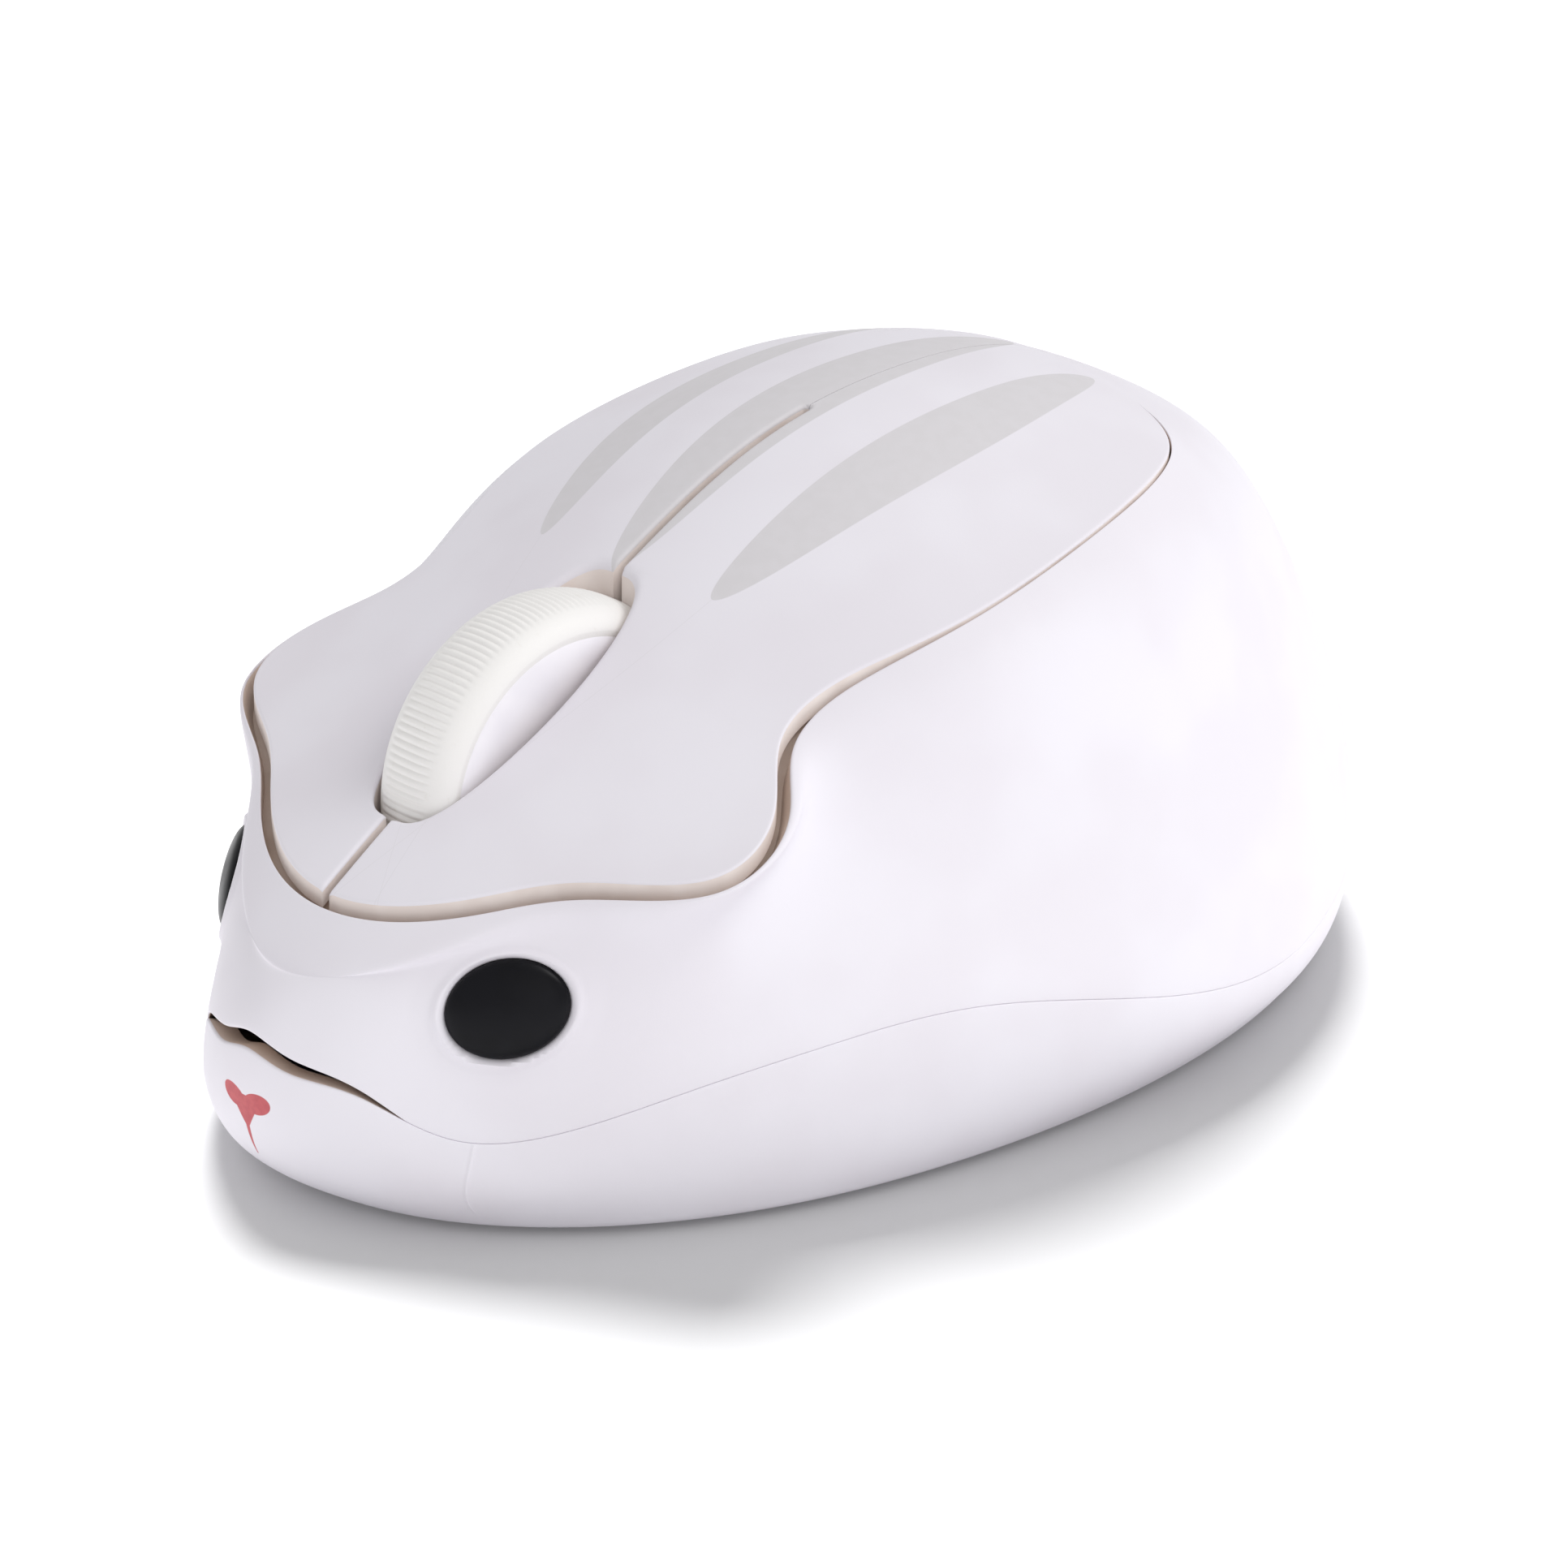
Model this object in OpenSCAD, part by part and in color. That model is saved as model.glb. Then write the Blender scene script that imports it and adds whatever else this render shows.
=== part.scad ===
// Hamster-shaped wireless mouse.
// Nose towards -Y, tail towards +Y, up is +Z, the table is at z = 0.

/* [Base shell] */
// Height of the flat underside above the table
underside_z = 0.5; // [0.4:0.1:0.8]
// Thickness of the floor
floor_t = 1.8; // [1.5:0.1:2.2]
// Thickness of the moulded walls
wall_t = 1.8; // [1.5:0.1:2.2]

/* [Upper shell and cover] */
// Height of the mouth gap at the nose
mouth_gap = 0.8; // [0.4:0.1:1.0]
// Thickness of the top cover
cover_t = 1.4; // [1.2:0.1:1.5]
// Width of the slit between the two click keys
slit_w = 0.7; // [0.5:0.1:1.0]
// Where the click keys bend, measured from the middle of the mouse
flex_y = 1; // [0:0.5:2]
// Gap left at the bending line
flex_gap = 0.3; // [0.2:0.1:0.4]

/* [Scroll wheel] */
// Height of the wheel axle
axle_z = 24.5; // [24:0.1:25]
// Place of the wheel axle along the mouse
axle_y = -24; // [-25:0.5:-23]
// Tyre radius
tyre_r = 12.8; // [12:0.1:13]
// Tyre width
tyre_w = 7; // [6:0.5:7.5]
// Hub radius
hub_r = 10.6; // [10:0.1:11]
// Stub axle radius
axle_r = 1.25; // [1:0.05:1.5]

/* [Eyes] */
// Half the length of an eye
eye_a = 4.2; // [3.8:0.1:4.4]
// Half the height of an eye
eye_b = 3.3; // [3:0.1:3.5]
// How far an eye stands out of the face
eye_bulge = 1.1; // [0.8:0.1:1.4]

/* [Electronics] */
// Underside of the circuit board
board_z = 8; // [7.6:0.1:8.2]
// Thickness of the circuit board
board_t = 1.2; // [1:0.1:1.6]
// Diameter of an AAA cell
cell_d = 10.5; // [10.5]
// Length of an AAA cell
cell_len = 44.5; // [44.5]

/* [Receiver] */
// Length of the receiver's plug
plug_len = 12; // [11:0.5:12]
// Length of the receiver's cap
cap_len = 6; // [5:0.5:7]

/* [Hidden] */
$fn = 48;

board_top = board_z + board_t;
floor_top = underside_z + floor_t;
cover_gap = 0.15;

// ---- curves: uniform cubic B-splines, mirrored over x = 0 at both ends ----
function basis(u) = [pow(1 - u, 3), 3*u*u*u - 6*u*u + 4, -3*u*u*u + 3*u*u + 3*u + 1, u*u*u] / 6;
function flip(p) = [-p[0], p[1], p[2]];
function mirrored(c, i) = let(n = len(c) - 1) i < 0 ? flip(c[-i]) : i > n ? flip(c[2*n - i]) : c[i];
function straight(c, i) = let(n = len(c) - 1)
    i < 0 ? 2*c[0] - c[1] : i > n ? 2*c[n] - c[n - 1] : c[i];
function cell(c, s) = max(0, min(floor(s), len(c) - 2));
function curve(c, s) = let(i = cell(c, s), b = basis(s - i))
    b[0]*mirrored(c, i - 1) + b[1]*mirrored(c, i) + b[2]*mirrored(c, i + 1) + b[3]*mirrored(c, i + 2);
function bend(c, s) = let(i = cell(c, s), b = basis(s - i))
    b[0]*straight(c, i - 1) + b[1]*straight(c, i) + b[2]*straight(c, i + 1) + b[3]*straight(c, i + 2);

// ---- the back of the animal as a height over (x, y) ----
profile_y = [-53, 57];
profile_z = [14.5, 26, 35, 44.5, 46.6, 45.5, 33.4, 12];
crown = [0.004, 0.012, 0.018, 0.010, 0.015];
crown_flat = 1.1;
function along(c, y) = let(share = (y - profile_y[0]) / (profile_y[1] - profile_y[0]))
    bend(c, (len(c) - 1) * max(0, min(1, share)));
function top_z(x, y) = along(profile_z, y) - along(crown, y)*x*x + crown_flat*pow(x/20, 4);

// ---- the net of outlines: columns run from the nose round to the tail ----
col_angle = [0, 8, 17, 26, 36, 45, 54, 66, 85, 108, 132, 157, 180];
last = len(col_angle) - 1;
// half width, front y, rear y, y of the widest place, squareness
function egg(e, a) = let(c = cos(a), f = pow(abs(c), e[4]))
    [e[0]*pow(abs(sin(a)), e[4]), c > 0 ? e[3] - (e[3] - e[1])*f : e[3] + (e[2] - e[3])*f];
foot_egg = [29.6, -45.5, 49, 4, 0.96];
bulge_egg = [32.2, -50.7, 51.4, 8, 1.1];
seam_egg = [34.3, -51.2, 52.3, 11, 1.19];
cheek_egg = [32, -48, 51.2, 9.4, 1.13];
seam_z = [14.2, 11.3, 11.7, 4.9, 7.1, 11.1, 13.7, 16.1, 8, 5.2, 8.3, 7.2, 8.8];
bulge_z = 3.4;
cheek_z = 17.2;
function egg_row(e, z) = [for (i = [0:last]) concat(egg(e, col_angle[i]), is_list(z) ? z[i] : z)];

// edge of the top cover: nose tip, ear, waist, back, tail tip
cover_edge = [
    [0, -43.7], [6, -42.4], [11.3, -39], [15.5, -34.8], [25.3, -30.6], [23.6, -23.6], [18.3, -20.6],
    [19, -14.4], [22.9, -6], [21.9, 8], [18.2, 20.9], [10.8, 23.8], [0, 23.4]
];
lip_gap = [0.65, 0.7, 0.65, 0.7, 0.9, 1.05, 0.8, 0.35, cover_gap, cover_gap, cover_gap, cover_gap, cover_gap];
lip_drop = [0.2, 0.3, 0.5, 0.5, 0.4, 0.7, 0.7, 0.4, -0.4, -0.3, -0.4, 0, -0.5];
lip_w = [3.7, 2.6, 1.5, 0.6, 0.5, 1.1, 2.1, 3.2, 4, 3.8, 5.6, 9.3, 10];
lip_fall = [1.9, 1.5, 1, 0.6, 0.6, 1.1, 1.4, 1.4, 1.8, 0.4, 4.4, -2.9, -1.7];
neck_in = [0, 0.6, 1.1, 1.4, 1.4, 1, 0.5, 0, 0, -0.3, 0.5, -1.3, -0.3];
function outward(i) = let(a = i > 0 ? cover_edge[i - 1] : [-cover_edge[1][0], cover_edge[1][1]],
    b = i < last ? cover_edge[i + 1] : [-cover_edge[last - 1][0], cover_edge[last - 1][1]],
    d = (b - a) / norm(b - a)) [d[1], -d[0]];
function edge_row(gap, drop) = [for (i = [0:last])
    let(p = cover_edge[i] + outward(i)*gap[i], x = i % last == 0 ? 0 : p[0])
    [x, p[1], top_z(x, p[1]) - drop[i]]];
cheek_row = egg_row(cheek_egg, cheek_z);
lip_out_row = edge_row(lip_gap + lip_w, lip_fall);
neck_row = [for (i = [0:last])
    (cheek_row[i] + lip_out_row[i])/2 - neck_in[i]*[outward(i)[0], outward(i)[1], 0]];
net = [
    egg_row(foot_egg, underside_z), egg_row(bulge_egg, bulge_z), egg_row(seam_egg, seam_z),
    cheek_row, neck_row, lip_out_row, edge_row(lip_gap, lip_drop)
];
seam_t = 2;
lip_t = len(net) - 1;

// ---- points of the outer skin, and the same points moved inwards by the wall ----
function row_at(t) = [for (j = [0:last]) bend([for (r = net) r[j]], t)];
function skin_half(t, n) = let(r = row_at(t)) [for (k = [0:n]) curve(r, last*k/n)];
function whole(h) = let(n = len(h) - 1) concat(h, [for (k = [1:n - 1]) flip(h[n - k])]);
function at(l, i) = l[(i + len(l)) % len(l)];
function inner(t, n, d) = let(
    a = whole(skin_half(t, n)),
    up = whole(skin_half(min(t + 0.05, lip_t), n)),
    dn = whole(skin_half(max(t - 0.05, 0), n)))
    [for (k = [0:len(a) - 1]) let(c = cross(at(a, k + 1) - at(a, k - 1), up[k] - dn[k])) a[k] - d*c/norm(c)];

// A band closed on itself: loops of equal length, joined in turn and the last to the first
module closed_band(loops) {
    m = len(loops);
    n = len(loops[0]);
    polyhedron(
        [for (l = loops) each l],
        [for (i = [0:m - 1], k = [0:n - 1]) let(a = i*n, b = ((i + 1) % m)*n, q = (k + 1) % n)
            each [[a + k, b + k, b + q], [a + k, b + q, a + q]]],
        convexity = 10);
}

half_cols = 32;
base_loops = concat(
    [for (t = [0, 0.35, 0.75, 1.2, 1.6, seam_t]) whole(skin_half(t, half_cols))],
    [for (t = [seam_t, 1.5, 1.0, 0.6]) inner(t, half_cols, wall_t)],
    [[for (p = whole(skin_half(0, half_cols))) [p[0]*0.9, p[1]*0.93, underside_z]]]
);
module base_ring() closed_band(base_loops);

// ---- places of the parts inside ----
cell_x = cell_d/2 + 0.3;
cell_y0 = -1.5;
cell_z = floor_top + 0.4 + cell_d/2;
spring_len = 2;
contact_t = 0.4;
door_w = 2*cell_d + 3;
door_y = [-3, 43.4];
sensor_y = -13.5;
switch_at = [9.5, -33.8];
power_at = [-15.5, -16.5];
receiver_at = [20, 12];
board_bosses = [[-17, -8], [17, -8], [0, -38.6]];
screw_at = [[-18.5, -25], [18.5, -25], [-17, 34], [17, 34]];
boss_split_z = 8;
boss_top_z = 17.5;

module at_each(places) {
    for (p = places) translate([p[0], p[1], 0]) children();
}

module tube(r_out, r_in, h) {
    difference() {
        cylinder(r = r_out, h = h);
        translate([0, 0, -1]) cylinder(r = r_in, h = h + 2);
    }
}

module floor_plate() {
    points = [for (p = whole(skin_half(0, half_cols))) [p[0]*0.985, p[1]*0.985]];
    translate([0, 0, underside_z]) linear_extrude(floor_t) polygon(points);
}

module receiver_pocket() {
    translate([receiver_at[0] - 4.4, receiver_at[1] - 8.4, underside_z]) cube([8.8, 16.8, cap_len + 2]);
    translate([receiver_at[0] - 3.2, receiver_at[1] - 7, underside_z]) cube([6.4, 14, cap_len + 8]);
}

module receiver_space() {
    translate([receiver_at[0] - 3.4, receiver_at[1] - 7.4, underside_z - 1]) cube([6.8, 14.8, cap_len + 1.2]);
    translate([receiver_at[0] - 2.35, receiver_at[1] - 6.1, 0]) cube([4.7, 12.2, 40]);
}

module battery_walls() {
    for (x = [-door_w/2 - 1.7, door_w/2 + 0.2])
        translate([x, -3, floor_top - 0.3]) cube([1.5, 43, 5]);
}

foot_places = [[0, -38, 11, 3], [-17.3, 26, 2.8, 4.6], [17.3, 26, 2.8, 4.6]];
foot_depth = 0.3;
module pill(w, h, t) {
    r = min(w, h);
    dx = max(0, w - r);
    dy = max(0, h - r);
    linear_extrude(t) union() {
        for (s = [-1, 1]) translate([s*dx, s*dy]) circle(r);
        square([max(2*dx, 2*r*(dy > 0 ? 1 : 0)), max(2*dy, 2*r*(dx > 0 ? 1 : 0))], center = true);
    }
}

module base_shell() {
    color("white") difference() {
        union() {
            base_ring();
            floor_plate();
            at_each(board_bosses) translate([0, 0, underside_z])
                cylinder(r = 2.6, h = board_z - underside_z - 0.02);
            at_each(screw_at) translate([0, 0, underside_z])
                cylinder(r = 2.9, h = boss_split_z - underside_z);
            receiver_pocket();
            battery_walls();
        }
        at_each(board_bosses) translate([0, 0, floor_top]) cylinder(r = 0.9, h = 20);
        at_each(screw_at) {
            translate([0, 0, -1]) cylinder(r = 2.3, h = 5.5);
            cylinder(r = 1.25, h = 20);
        }
        for (f = foot_places) translate([f[0], f[1], -1])
            pill(f[2] + 0.1, f[3] + 0.1, 1 + underside_z + foot_depth);
        translate([-door_w/2 - 0.2, door_y[0] - 0.2, -1])
            cube([door_w + 0.4, door_y[1] - door_y[0] + 0.4, 1 + underside_z + door_t + 0.2]);
        translate([-door_w/2 + 0.2, cell_y0 - spring_len - 0.6, 1])
            cube([door_w - 0.4, door_y[1] - cell_y0 + spring_len, 8]);
        translate([-4.5, sensor_y - 4.5, -1]) cube([9, 11, 6]);
        translate([power_at[0] - 1.7, power_at[1] - 3.6, -1]) cube([3.4, 7.2, 6]);
        translate([power_at[0] - 3, power_at[1] - 5, -1]) cube([6, 10, 2.2]);
        receiver_space();
    }
}

function mouth_t(k, n) = let(s = last*k/n) 0.17 * mouth_gap/0.8 * max(0, 1 - pow(s/3.4, 2));
function skin_mouth(n) = [for (k = [0:n]) curve(row_at(seam_t + mouth_t(k, n)), last*k/n)];
upper_ts = [2.5, 3, 3.5, 4, 4.4, 4.8, 5.1, 5.4, 5.7, lip_t];
upper_loops = concat(
    [whole(skin_mouth(half_cols))],
    [for (t = upper_ts) whole(skin_half(t, half_cols))],
    [[for (p = whole(skin_half(lip_t, half_cols))) p - [0, 0, 0.9]]],
    [inner(4.2, half_cols, 0.35*wall_t), inner(3.8, half_cols, 0.7*wall_t)],
    [for (t = [3.4, 3, 2.6, 2.25]) inner(t, half_cols, wall_t)]
);

eye_at = curve(row_at(3.1), 3.2);
eye_heading = 44;
eye_pitch = 12;
eye_roll = 17;
module at_eye(side) {
    mirror([side < 0 ? 1 : 0, 0, 0]) translate(eye_at) rotate([90 - eye_pitch, 0, eye_heading])
        rotate([0, 0, eye_roll]) children();
}

// A post with a web that joins it to the wall beside it
module screw_post(p) {
    side = sign(p[0]);
    height = boss_top_z - boss_split_z - 0.1;
    translate([p[0], p[1], boss_split_z + 0.1]) {
        cylinder(r = 2.4, h = height);
        translate([side > 0 ? 0 : -3.9, -0.8, 4.5]) cube([3.9, 1.6, height - 4.5]);
    }
}

module upper_shell() {
    color("white") difference() {
        union() {
            closed_band(upper_loops);
            for (p = screw_at) screw_post(p);
        }
        at_each(screw_at) cylinder(r = 1, h = 16);
        for (side = [-1, 1]) at_eye(side) {
            translate([0, 0, -5]) cylinder(r = 2.3, h = 8);
            translate([0, 0, -eye_seat]) scale([1, eye_b/eye_a, 1]) cylinder(r = eye_a + 0.1, h = 4);
        }
    }
}

// ---- top cover: rows of constant y between an inner and an outer edge ----
opening_y = [-37.6, -17.1];
opening_half_w = 4.9;
opening_blunt = 0.3;
function opening_w(y) = let(u = (y - opening_y[0]) / (opening_y[1] - opening_y[0]))
    u <= 0 || u >= 1 ? 0 : opening_half_w*pow(sin(180*u), opening_blunt);
function inner_x(y) = max(slit_w/2, opening_w(y));
cover_edge3 = [for (p = cover_edge) [p[0], p[1], 0]];
cover_rows = [for (k = [0:44]) curve(cover_edge3, 0.35 + k/4)];

// A plate that follows the back between x edges a and b of each row [y, a, b]
module back_plate(rows, cols) {
    n = cols + 1;
    m = len(rows);
    top = [for (r = rows, c = [0:cols]) let(x = r[1] + (r[2] - r[1])*c/cols) [x, r[0], top_z(x, r[0])]];
    low = [for (p = top) [p[0], p[1], p[2] - cover_t]];
    rim = concat([for (c = [0:cols]) c], [for (r = [1:m - 1]) r*n + cols],
        [for (c = [cols - 1:-1:0]) (m - 1)*n + c], [for (r = [m - 2:-1:1]) r*n]);
    k = len(rim);
    polyhedron(concat(top, low), concat(
        [for (r = [0:m - 2], c = [0:cols - 1]) let(a = r*n + c)
            each [[a, a + n, a + n + 1], [a, a + n + 1, a + 1]]],
        [for (r = [0:m - 2], c = [0:cols - 1]) let(a = m*n + r*n + c)
            each [[a, a + n + 1, a + n], [a, a + 1, a + n + 1]]],
        [for (i = [0:k - 1]) let(a = rim[i], b = rim[(i + 1) % k])
            each [[a, b, b + m*n], [a, b + m*n, a + m*n]]]),
        convexity = 10);
}

front_rows = [for (p = cover_rows) if (p[1] < flex_y - flex_gap - 0.4) [p[1], inner_x(p[1]), p[0]]];
front_end = let(y = flex_y - flex_gap/2) [y, inner_x(y), edge_x(y)];
rear_rows = [for (p = cover_rows) if (p[1] > flex_y + flex_gap + 0.4) [p[1], -p[0], p[0]]];
rear_start = let(y = flex_y + flex_gap/2) [y, -edge_x(y), edge_x(y)];
// x of the cover's edge at a given y behind the ears, found by halving
function edge_x(y, lo = 7, hi = 12, n = 24) = let(mid = (lo + hi)/2, p = curve(cover_edge3, mid))
    n == 0 ? p[0] : p[1] < y ? edge_x(y, mid, hi, n - 1) : edge_x(y, lo, mid, n - 1);

switch_h = 3.6;
plunger_top = board_top + 5;
module button() {
    back_plate(concat(front_rows, [front_end]), 14);
    translate([switch_at[0] - 2, switch_at[1] - 1, plunger_top + 0.05])
        cube([4, 2, top_z(switch_at[0], switch_at[1]) - plunger_top - 0.8]);
}

module left_button() {
    color("white") button();
}

module right_button() {
    color("white") mirror([1, 0, 0]) button();
}

module palm_cover() {
    color("white") back_plate(concat([rear_start], rear_rows), 28);
}

eye_seat = 0.9;
// A domed oval on a round stem that is pressed into the face
module eye() {
    intersection() {
        scale([1, eye_b/eye_a, eye_bulge/eye_a]) sphere(r = eye_a);
        translate([-eye_a, -eye_a, -eye_seat + 0.05]) cube([2*eye_a, 2*eye_a, 4]);
    }
    translate([0, 0, -3.5]) cylinder(r = 2.2, h = 3.5);
}

module left_eye() {
    color("black") at_eye(1) eye();
}

module right_eye() {
    color("black") at_eye(-1) eye();
}

// ---- scroll wheel ----
module on_axle() {
    translate([0, axle_y, axle_z]) rotate([0, 90, 0]) children();
}

module wheel_tyre() {
    shoulder = 1.8;
    half = tyre_w/2;
    color("ivory") on_axle() rotate_extrude($fn = 96) polygon([
        [hub_r - 0.9, -half + 1], [hub_r + 0.4, -half],
        [tyre_r - 1, -half + 0.4], [tyre_r, -half + shoulder],
        [tyre_r, half - shoulder], [tyre_r - 1, half - 0.4],
        [hub_r + 0.4, half], [hub_r - 0.9, half - 1]
    ]);
}

hex_af = 2.2;
axle_end_x = -12.5;
module wheel_hub() {
    half = tyre_w/2;
    color("white") on_axle() {
        rotate_extrude($fn = 96) polygon([
            [0, -half - 0.2], [hub_r - 1.4, -half - 0.2], [hub_r + 0.4, -half], [hub_r - 0.9, -half + 1],
            [hub_r - 0.9, half - 1], [hub_r + 0.4, half], [hub_r - 1.4, half + 0.2], [0, half + 0.2]
        ]);
        translate([0, 0, axle_end_x]) cylinder(r = axle_r, h = -axle_end_x);
        translate([0, 0, half]) cylinder(r = 1.8, h = 1.6);
        translate([0, 0, half]) cylinder(r = hex_af/sqrt(3), h = 6.6, $fn = 6);
    }
}

// ---- board and what stands on it ----
module main_board() {
    right = [[8, -41.3], [12.5, -36.6], [15.6, -31], [15.6, -21.5], [20, -19], [20, -4.5]];
    outline = concat(right, [for (k = [5:-1:0]) [-right[k][0], right[k][1]]]);
    color("green") difference() {
        translate([0, 0, board_z]) linear_extrude(board_t) polygon(outline);
        at_each(board_bosses) cylinder(r = 1.3, h = 20);
        translate([-3.5, sensor_y - 3, 0]) cube([7, 6, 20]);
    }
}

module tact_body(p) {
    color("dimgray") difference() {
        translate([p[0] - 3, p[1] - 3, board_top]) cube([6, 6, switch_h]);
        translate([p[0], p[1], board_top + 2.2]) cylinder(r = 1.85, h = 5);
    }
}

module tact_plunger(p, top) {
    color("black") translate([p[0], p[1], board_top + 2.9]) cylinder(r = 1.75, h = top - board_top - 2.9);
}

module left_switch_body() {
    tact_body(switch_at);
}

module right_switch_body() {
    tact_body([-switch_at[0], switch_at[1]]);
}

module left_switch_plunger() {
    tact_plunger(switch_at, plunger_top);
}

module right_switch_plunger() {
    tact_plunger([-switch_at[0], switch_at[1]], plunger_top);
}

middle_at = [axle_end_x + 2.5, axle_y];
module middle_switch_body() {
    tact_body(middle_at);
}

module middle_switch_plunger() {
    tact_plunger(middle_at, axle_z - cradle_drop - 0.1);
}

// Saddle on the free end of the axle; it tips with the axle and presses the middle switch
cradle_drop = 2.8;
module axle_cradle() {
    color("white") difference() {
        translate([axle_end_x + 0.3, axle_y - 2.4, axle_z - cradle_drop]) cube([4.4, 4.8, cradle_drop + 2.4]);
        translate([axle_end_x - 1, axle_y, axle_z]) rotate([0, 90, 0]) cylinder(r = axle_r + 0.06, h = 12);
    }
}

encoder_x = [6.2, 10.8];
encoder_r = 4.6;
module encoder_body() {
    color("dimgray") difference() {
        union() {
            translate([encoder_x[0], axle_y - encoder_r, board_top])
                cube([encoder_x[1] - encoder_x[0], 2*encoder_r, axle_z - board_top]);
            translate([encoder_x[0], axle_y, axle_z]) rotate([0, 90, 0])
                cylinder(r = encoder_r, h = encoder_x[1] - encoder_x[0]);
        }
        translate([encoder_x[0] - 1, axle_y, axle_z]) rotate([0, 90, 0]) cylinder(r = 2.6, h = 10);
    }
}

module encoder_rotor() {
    color("white") translate([encoder_x[0], axle_y, axle_z]) rotate([0, 90, 0]) difference() {
        cylinder(r = 2.52, h = encoder_x[1] - encoder_x[0]);
        translate([0, 0, -1]) cylinder(r = (hex_af + 0.24)/sqrt(3), h = 10, $fn = 6);
    }
}

module optical_sensor() {
    color("black") translate([-4.5, sensor_y - 6.5, board_top + 0.1]) cube([9, 11, 2.2]);
}

module sensor_lens() {
    color("lightgray") {
        translate([-6.4, sensor_y - 7, floor_top + 0.05]) cube([12.8, 15, board_z - floor_top - 0.1]);
        translate([-4.3, sensor_y - 4.3, underside_z + 0.5]) cube([8.6, 10.6, floor_t]);
    }
}

led_y = sensor_y + 5.5;
led_z = board_top + 2.2;
module sensor_led() {
    color("red") translate([0, led_y, led_z]) rotate([-90, 0, 0]) {
        cylinder(r = 1.5, h = 2.6);
        translate([0, 0, 2.6]) cylinder(r = 1.8, h = 0.6);
    }
}

module led_clip() {
    color("black") difference() {
        translate([-3, led_y, board_top]) cube([6, 2.4, 4.6]);
        translate([0, led_y - 1, led_z]) rotate([-90, 0, 0]) cylinder(r = 1.55, h = 12);
        translate([-1.8, led_y - 1, board_top - 1]) cube([3.6, 12, 1.6]);
    }
}

module control_chip() {
    color("black") translate([-13.8, -18.5, board_top]) cube([5, 8.6, 1.6]);
}

module crystal() {
    color("silver") translate([13.6, -18.5, board_top]) cube([3.4, 8, 2.6]);
}

module capacitors() {
    color("black") for (y = [-15.6, -10.6]) translate([9.6, y, board_top]) cylinder(r = 2, h = 5);
}

// ---- battery bay ----
module aaa_cell(towards) {
    translate([0, cell_y0 + cell_len/2, cell_z]) rotate([-90*towards, 0, 0]) translate([0, 0, -cell_len/2]) {
        cylinder(r = cell_d/2, h = cell_len - 0.9);
        cylinder(r = 1.9, h = cell_len);
    }
}

module left_cell() {
    color("gold") translate([cell_x, 0, 0]) aaa_cell(1);
}

module right_cell() {
    color("gold") translate([-cell_x, 0, 0]) aaa_cell(-1);
}

module cell_springs() {
    color("silver") for (p = [[cell_x, cell_y0 - spring_len], [-cell_x, cell_y0 + cell_len]])
        translate([p[0], p[1], cell_z]) rotate([-90, 0, 0]) tube(2.6, 2, spring_len);
}

module cell_contacts() {
    back = cell_y0 + cell_len;
    color("silver") for (side = [-1, 1]) {
        translate([side*cell_x - 3.2, cell_y0 - spring_len - contact_t, cell_z - 3])
            cube([6.4, contact_t, 6]);
        translate([side*cell_x - 3.2, back + spring_len, cell_z - 3]) cube([6.4, contact_t, 6]);
    }
    // raised seats that meet the plain ends
    color("silver") translate([-cell_x, cell_y0 - spring_len, cell_z]) rotate([-90, 0, 0])
        cylinder(r = 2, h = spring_len);
    color("silver") translate([cell_x, back, cell_z]) rotate([-90, 0, 0]) cylinder(r = 2, h = spring_len);
}

door_t = 1.5;
module battery_door() {
    color("white") difference() {
        translate([-door_w/2, door_y[0], underside_z]) cube([door_w, door_y[1] - door_y[0], door_t]);
        for (k = [0:3]) translate([-5, door_y[0] + 3 + 1.6*k, underside_z - 0.1]) cube([10, 0.8, 0.5]);
    }
}

// ---- power switch ----
module power_switch_body() {
    color("dimgray") difference() {
        translate([power_at[0] - 2.8, power_at[1] - 5, 4]) cube([5.6, 10, board_z - 4]);
        translate([power_at[0] - 1.1, power_at[1] - 2.7, 3]) cube([2.2, 5.4, 3]);
    }
}

module power_switch_knob() {
    color("black") {
        translate([power_at[0] - 1, power_at[1] - 2.5, 1.2]) cube([2, 3, 4.6]);
        translate([power_at[0] - 1.4, power_at[1] - 3.1, 1]) cube([2.8, 4.2, 0.9]);
    }
}

// ---- receiver ----
cap_low = underside_z + 0.1;
module receiver_cap() {
    color("black") translate([receiver_at[0] - 3.15, receiver_at[1] - 7.15, cap_low]) difference() {
        cube([6.3, 14.3, cap_len]);
        translate([3.15 - 2.05, 7.15 - 5.75, 1.5]) cube([4.1, 11.5, cap_len]);
    }
}

module receiver_plug() {
    color("silver") translate([receiver_at[0], receiver_at[1], cap_low + 1.6]) difference() {
        translate([-2, -5.7, 0]) cube([4, 11.4, plug_len + cap_len - 1.6]);
        translate([-1.7, -5.4, 0.4]) cube([3.4, 10.8, plug_len + cap_len]);
    }
}

module receiver_tongue() {
    color("black") translate([receiver_at[0] - 1.65, receiver_at[1] - 5.3, cap_low + 2.1])
        cube([1.8, 10.6, plug_len + 2.8]);
}

module feet() {
    color("gray") for (f = foot_places) translate([f[0], f[1], 0]) pill(f[2], f[3], underside_z + foot_depth);
}

module base_screws() {
    color("silver") at_each(screw_at) {
        translate([0, 0, 3.1]) cylinder(r = 2.1, h = 1.4);
        translate([0, 0, 4.4]) cylinder(r = 1, h = 10);
    }
}

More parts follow.
